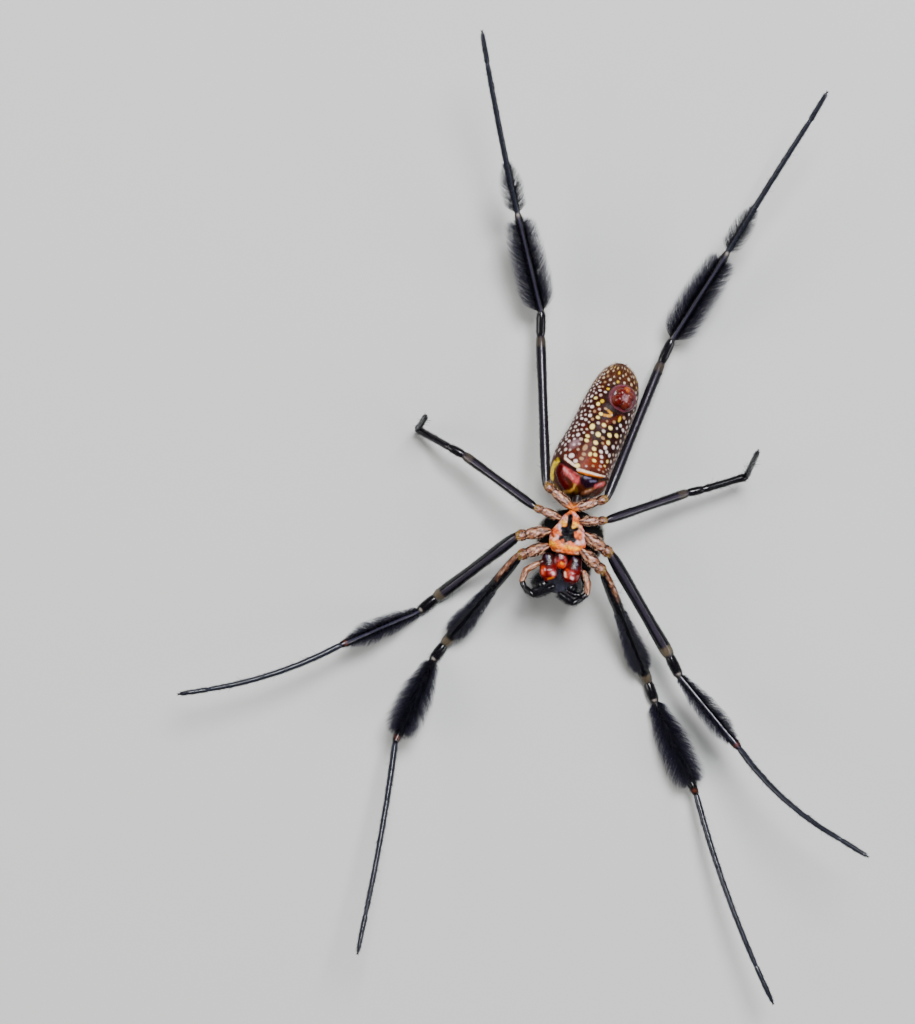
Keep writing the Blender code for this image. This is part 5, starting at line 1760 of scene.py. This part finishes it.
# %% Growing one brush
def brush_hairs(leg, piece, brush, draw):
    """An undercoat and long hairs over it, both by the brush's outline."""
    data = leg["pieces"][piece]
    radius = data["radius"]
    length = data["length"] * (brush["to"] - brush["from"])
    count = int(brush["density"] * length * 2.0 * math.pi * radius)
    within = draw.uniform(0.0, 1.0, count)
    turn = draw.uniform(0.0, 2.0 * math.pi, count)
    if brush["parting"]:
        bare = np.abs(turn - BELLY_TURN) < brush["parting"] * draw.uniform(0.55, 1.25, count)
        within, turn = within[~bare], turn[~bare]
        count = len(turn)
    root, out, forward, sheet = leg_roots(leg, piece, mix(brush["from"], brush["to"], within), turn)
    distance = within * length
    reach = brush["reach"] * soft_curve(within, (0.0, 0.33, 0.67, 1.0), brush["profile"])
    tuft = wobble(distance + 0.3 * turn, 2.5 * turn, 3.1)
    tall = np.where(draw.uniform(0.0, 1.0, count) < 0.25, draw.uniform(0.5, 0.85, count),
                    draw.normal(0.94, 0.04, count)) + 0.06 * tuft
    stand = np.minimum(reach * tall - radius, 0.72 * (length - distance) + brush["end"])
    stand = np.maximum(stand, BRUSH_LEAST)
    lean_in = BRUSH_LEANS[0] + 5.0 * tuft + draw.normal(0.0, 4.0, count)
    lean_out = BRUSH_LEANS[1] + draw.normal(0.0, 5.0, count)
    rise = np.sin(np.radians(0.5 * (lean_in + lean_out)))
    width = draw.uniform(0.015, 0.027, count)
    lie = swayed(forward, out, draw, 7.0)
    # Hairs round the sides of the leg get lighter tips, a painted highlight for the pale, lit edge of the
    # brush
    tips = 0.8 + 4.2 * ramp(np.abs(turn - BELLY_TURN), 0.3, 1.1)
    return grow(root, out, lie, stand / rise, width, (lean_in, lean_out),
                toned(HAIR_BLACK, count, draw, 0.5), 0.34, sheet, tips=tips)


# %% Short hair and spines of a leg
# Hairs for each mm2, their length and their lean
SHORT_HAIR = {
    "coxa": (16.0, 0.32, 34.0), "femur": (16.0, 0.36, 26.0), "patella": (18.0, 0.34, 28.0),
    "tibia": (26.0, 0.42, 28.0), "metatarsus": (44.0, 0.4, 24.0), "tarsus": (60.0, 0.36, 26.0),
}
SPINES = {"femur": 10, "patella": 2, "tibia": 8, "metatarsus": 16, "tarsus": 0, "coxa": 2}


def short_hairs(leg, piece, draw):
    """Fine, lying hair all over a leg piece."""
    density, long, lean = SHORT_HAIR[piece]
    data = leg["pieces"][piece]
    count = int(density * data["length"] * 2.0 * math.pi * data["radius"])
    share = draw.uniform(0.03, 0.97, count)
    turn = draw.uniform(0.0, 2.0 * math.pi, count)
    root, out, forward, sheet = leg_roots(leg, piece, share, turn)
    tint = toned(CREAM if piece == "coxa" else HAIR_BLACK, count, draw)
    leans = (lean + draw.normal(0.0, 6.0, count), 0.5 * lean + draw.normal(0.0, 5.0, count))
    return grow(root, out, swayed(forward, out, draw, 9.0), long * draw.uniform(0.6, 1.25, count),
                draw.uniform(0.012, 0.02, count), leans, tint, 0.4, sheet, knots=SHORT_KNOTS)


def spines(leg, piece, draw):
    """A few stout bristles that stand well off the leg."""
    count = SPINES[piece]
    share = (np.arange(count) + draw.uniform(0.2, 0.8, count)) / max(count, 1) * 0.9 + 0.05
    turn = draw.uniform(0.0, 2.0 * math.pi, count)
    root, out, forward, sheet = leg_roots(leg, piece, share, turn)
    leans = (draw.uniform(50.0, 68.0, count), draw.uniform(44.0, 60.0, count))
    return grow(root, out, forward, draw.uniform(0.55, 0.95, count), np.full(count, 0.034), leans,
                toned(BLACK, count, draw), 0.3, sheet)


# %% The coats of the eight legs
coat_total = 0
for number, leg in enumerate(LEGS):
    draw = np.random.default_rng(HAIR_SEED + number)
    batches = []
    for piece in LEG_PIECES:
        batches.append(short_hairs(leg, piece, draw))
        if SPINES[piece]:
            batches.append(spines(leg, piece, draw))
        brush = BRUSHES.get((piece, leg["pair"]))
        if brush:
            batches.append(brush_hairs(leg, piece, brush, draw))
    coat_total += coat_piece(f"coat_{leg['name']}", batches, HAIR)

# %% [markdown]
# ## Hair of the mouth, the body and the back
#
# Black hair thickens the ends of the palps, a grey fringe closes the mouth between the maxillae,
# and short bristles stand on the front of the jaws. The abdomen has short, pale down that thickens
# at its end. The back of the carapace, face down here, is silvery with flat hair, and white tufts
# of it show past its edge. The same hair covers the brow, with room round each eye.

# %% Palps and mouth
draw = np.random.default_rng(HAIR_SEED + 20)
batches = []
# Hairs for each mm2, their length and their lean, from the palp's thigh to its foot
PALP_HAIR = ((12.0, 0.3, 30.0), (16.0, 0.36, 34.0), (44.0, 0.55, 38.0), (130.0, 0.56, 38.0))
for side, number, chain, length, full in palp_pieces:
    density, long, lean = PALP_HAIR[number]
    count = int(density * length * 2.0 * math.pi * full)
    distance = draw.uniform(0.02, 1.0, count) * length
    turn = draw.uniform(0.0, 2.0 * math.pi, count)
    centre, right, up, forward = frames_on(chain, distance)
    out = around(right, up, turn)
    across = 0.5 * (side == "right") + 0.5 * turn / (2.0 * math.pi)
    sheet = np.stack((0.9 * across, 0.1 + 0.2 * (number + distance / length)), axis=-1)
    leans = (lean + draw.normal(0.0, 6.0, count), 0.55 * lean + draw.normal(0.0, 6.0, count))
    tint = toned(CREAM if number == 0 else HAIR_BLACK, count, draw)
    batches.append(grow(centre + out * ROOT_DEPTH * full, out, swayed(forward, out, draw, 10.0),
                        long * draw.uniform(0.6, 1.2, count), draw.uniform(0.01, 0.018, count), leans,
                        tint, 0.4, sheet))

# Middle x, y and z, spread in x and y, heading of the hair, count, length and lightness
FRINGE_SPOTS = (
    (11.0, -6.9, 8.15, 0.16, 0.45, 262.0, 170, 0.8, 1.0),
    (10.35, -7.3, 8.1, 0.4, 0.12, 285.0, 170, 0.7, 0.8),
    (11.9, -7.6, 8.1, 0.4, 0.12, 235.0, 170, 0.7, 0.8),
    # The last row's lighter hair is a painted highlight in the middle of the fringe
    (11.05, -7.85, 8.0, 0.3, 0.25, 262.0, 220, 0.9, 3.2),
)
for x, y, z, wide, deep, heading, count, long, light in FRINGE_SPOTS:
    roots = place(x, y, z) + np.stack((draw.normal(0.0, wide, count), draw.normal(0.0, deep, count),
                                       draw.uniform(-0.25, 0.15, count)), axis=-1)
    out = np.tile((0.0, 0.0, 1.0), (count, 1))
    lie = directions(heading + draw.normal(0.0, 14.0, count), np.zeros(count))
    leans = (draw.uniform(10.0, 42.0, count), draw.uniform(-18.0, 16.0, count))
    sheet = np.stack((0.93 + 0.05 * draw.uniform(0.0, 1.0, count), draw.uniform(0.1, 0.9, count)), axis=-1)
    batches.append(grow(roots, out, lie, long * draw.uniform(0.5, 1.1, count),
                        draw.uniform(0.01, 0.02, count), leans,
                        light * toned(FRINGE_GREY, count, draw, 0.8), 0.45, sheet, tips=1.6))

JAW_BRISTLES = 260
for side, (x, y) in JAWS.items():
    height = draw.triangular(-0.9, -0.25, 0.7, JAW_BRISTLES)
    heading = math.radians(BODY_HEADING) + draw.uniform(-1.7, 1.7, JAW_BRISTLES)
    flat = np.stack((np.cos(heading), np.sin(heading), np.zeros(JAW_BRISTLES)), axis=-1)
    flat = lying(flat, jaw_axis)
    level = np.sqrt(1.0 - height**2)
    slim = 1.0 - JAW_TAPER * height
    roots = place(x, y, JAW_MIDDLE) + jaw_axis * (JAW_RADII[1] * height)[:, None]
    roots += flat * (0.98 * JAW_RADII[0] * level * slim)[:, None]
    out = unit(flat * (level / JAW_RADII[0])[:, None] + jaw_axis * (height / JAW_RADII[1])[:, None])
    lie = lying(jaw_axis, out)
    leans = (draw.normal(42.0, 8.0, JAW_BRISTLES), draw.normal(20.0, 8.0, JAW_BRISTLES))
    sheet = np.stack((0.93 + 0.05 * draw.uniform(0.0, 1.0, JAW_BRISTLES), 0.5 + 0.4 * height), axis=-1)
    batches.append(grow(roots, out, swayed(lie, out, draw, 12.0), draw.uniform(0.3, 0.7, JAW_BRISTLES),
                        draw.uniform(0.01, 0.018, JAW_BRISTLES), leans, toned(HAIR_BLACK, JAW_BRISTLES, draw),
                        0.4, sheet, tips=2.0))
coat_total += coat_piece("coat_mouth", batches, HAIR)

# %% Abdomen down
draw = np.random.default_rng(HAIR_SEED + 30)
DOWN_COUNT = 7000
TAIL_COUNT = 1200
SLOPE_STEP = 0.05
distance = draw.uniform(0.6, 16.2, DOWN_COUNT)
distance[:TAIL_COUNT] = draw.uniform(12.8, 16.35, TAIL_COUNT)
turn = draw.uniform(0.0, 2.0 * math.pi, DOWN_COUNT)
surface = abdomen_points(distance, turn)
across, below, above = abdomen_sizes(distance)
reach = np.where(np.sin(turn) > 0.0, above, below)
_, side, up, forward = frames_on(abdomen_chain, distance)
out = unit(around(side, up, turn, 1.0 / across, 1.0 / reach))
slope = (abdomen_sizes(distance + SLOPE_STEP)[0] - across) / SLOPE_STEP
out = unit(out - forward * slope[:, None] * 0.8)
lie = lying(forward, out)
surface += out * (abdomen_relief(distance, turn) - 0.03)[:, None]
down_paint = paint_abdomen(distance, turn)[:, :3]
down_tint = mix(down_paint, np.array(DOWN_PALE), 0.22) * draw.uniform(0.7, 1.2, (DOWN_COUNT, 1))
sheet = np.stack((turn / (2.0 * math.pi), distance / 17.0), axis=-1)
furrow = furrow_at(belly_arc(turn))
front = 1.0 - ramp(distance, furrow - 0.1, furrow + 0.3)
long = mix(0.2, 0.34, ramp(distance, 12.5, 15.0)) * mix(1.0, 0.4, front)
leans = (draw.normal(26.0, 6.0, DOWN_COUNT) + 22.0 * ramp(distance, 13.0, 16.0),
         draw.normal(14.0, 6.0, DOWN_COUNT))
down = grow(surface, out, swayed(lie, out, draw, 12.0), long * draw.uniform(0.6, 1.3, DOWN_COUNT),
            draw.uniform(0.008, 0.013, DOWN_COUNT), leans, down_tint, 0.5, sheet, knots=SHORT_KNOTS)
coat_total += coat_piece("coat_abdomen", [down], HAIR)

# %% Silver hair of the carapace
draw = np.random.default_rng(HAIR_SEED + 40)
SILVER_COUNT = 9000
RIM_SHARE = 0.25
distance = draw.uniform(0.9, 9.5, SILVER_COUNT)
turn = draw.uniform(math.pi, 2.0 * math.pi, SILVER_COUNT)
edge = draw.uniform(0.0, 1.0, SILVER_COUNT) < RIM_SHARE
turn[edge] = np.where(draw.uniform(0.0, 1.0, edge.sum()) < 0.5, draw.normal(0.05, 0.16, edge.sum()),
                      draw.normal(math.pi - 0.05, 0.16, edge.sum()))
across, half, lift = level_sizes(CARAPACE_ROWS, distance)
centre, side, up, forward = frames_on(carapace_chain, distance)
centre[:, 2] = lift
surface = centre + around(side, up, turn, across, half)
out = unit(around(side, up, turn, 1.0 / across, 1.0 / half))
surface += out * (carapace_relief(distance, turn) - 0.03)[:, None]
bare = hill(distance, 3.3, 0.5) * hill(across * np.cos(turn), 0.0, 0.6) > 0.4
bare |= hill(np.mod(distance, 1.5), 0.75, 0.2) * hill(np.abs(np.cos(turn)), 0.55, 0.12) > 0.5
keep_hair = ~bare
sheet = np.stack((turn / (2.0 * math.pi), distance / 10.0), axis=-1)
count = int(keep_hair.sum())
leans = (draw.normal(24.0, 8.0, count) + 30.0 * edge[keep_hair], draw.normal(6.0, 5.0, count))
silver = grow(surface[keep_hair], out[keep_hair], swayed(-forward[keep_hair], out[keep_hair], draw, 22.0),
              draw.uniform(0.3, 0.55, count), draw.uniform(0.016, 0.026, count), leans,
              toned(SILVER, count, draw), 0.4, sheet[keep_hair], knots=SHORT_KNOTS)

# %% Silver hair of the brow
BROW_HAIRS = 1300
EYE_ROOM = 0.3
facing = unit(draw.normal(0.0, 1.0, (BROW_HAIRS, 3)))
roots = (0.99 * facing * BROW_RADII) @ np.array(brow_turn).T + brow_middle
out = unit((facing / BROW_RADII) @ np.array(brow_turn).T)
from_eyes = np.min([np.linalg.norm(roots - middle, axis=1) for middle, _ in eye_spots.values()], axis=0)
keep_hair = (from_eyes > EYE_ROOM) & (facing[:, 2] < 0.45)
count = int(keep_hair.sum())
backwards = np.array((*directions(BODY_HEADING + 180.0, 0.0)[:2], -1.2))
lie = lying(backwards, out)
round_brow = np.arctan2(facing[:, 1], facing[:, 2]) / (2.0 * math.pi) + 0.5
sheet = np.stack((0.02 + 0.42 * round_brow, 0.5 + 0.42 * facing[:, 0]), axis=-1)
leans = (draw.normal(26.0, 8.0, count), draw.normal(6.0, 5.0, count))
brow_hair = grow(roots[keep_hair], out[keep_hair], swayed(lie[keep_hair], out[keep_hair], draw, 18.0),
                 draw.uniform(0.22, 0.42, count), draw.uniform(0.014, 0.022, count), leans,
                 toned(SILVER, count, draw), 0.4, sheet[keep_hair], knots=SHORT_KNOTS)
coat_total += coat_piece("coat_carapace", [silver, brow_hair], HAIR)
print("coat triangles:", coat_total)
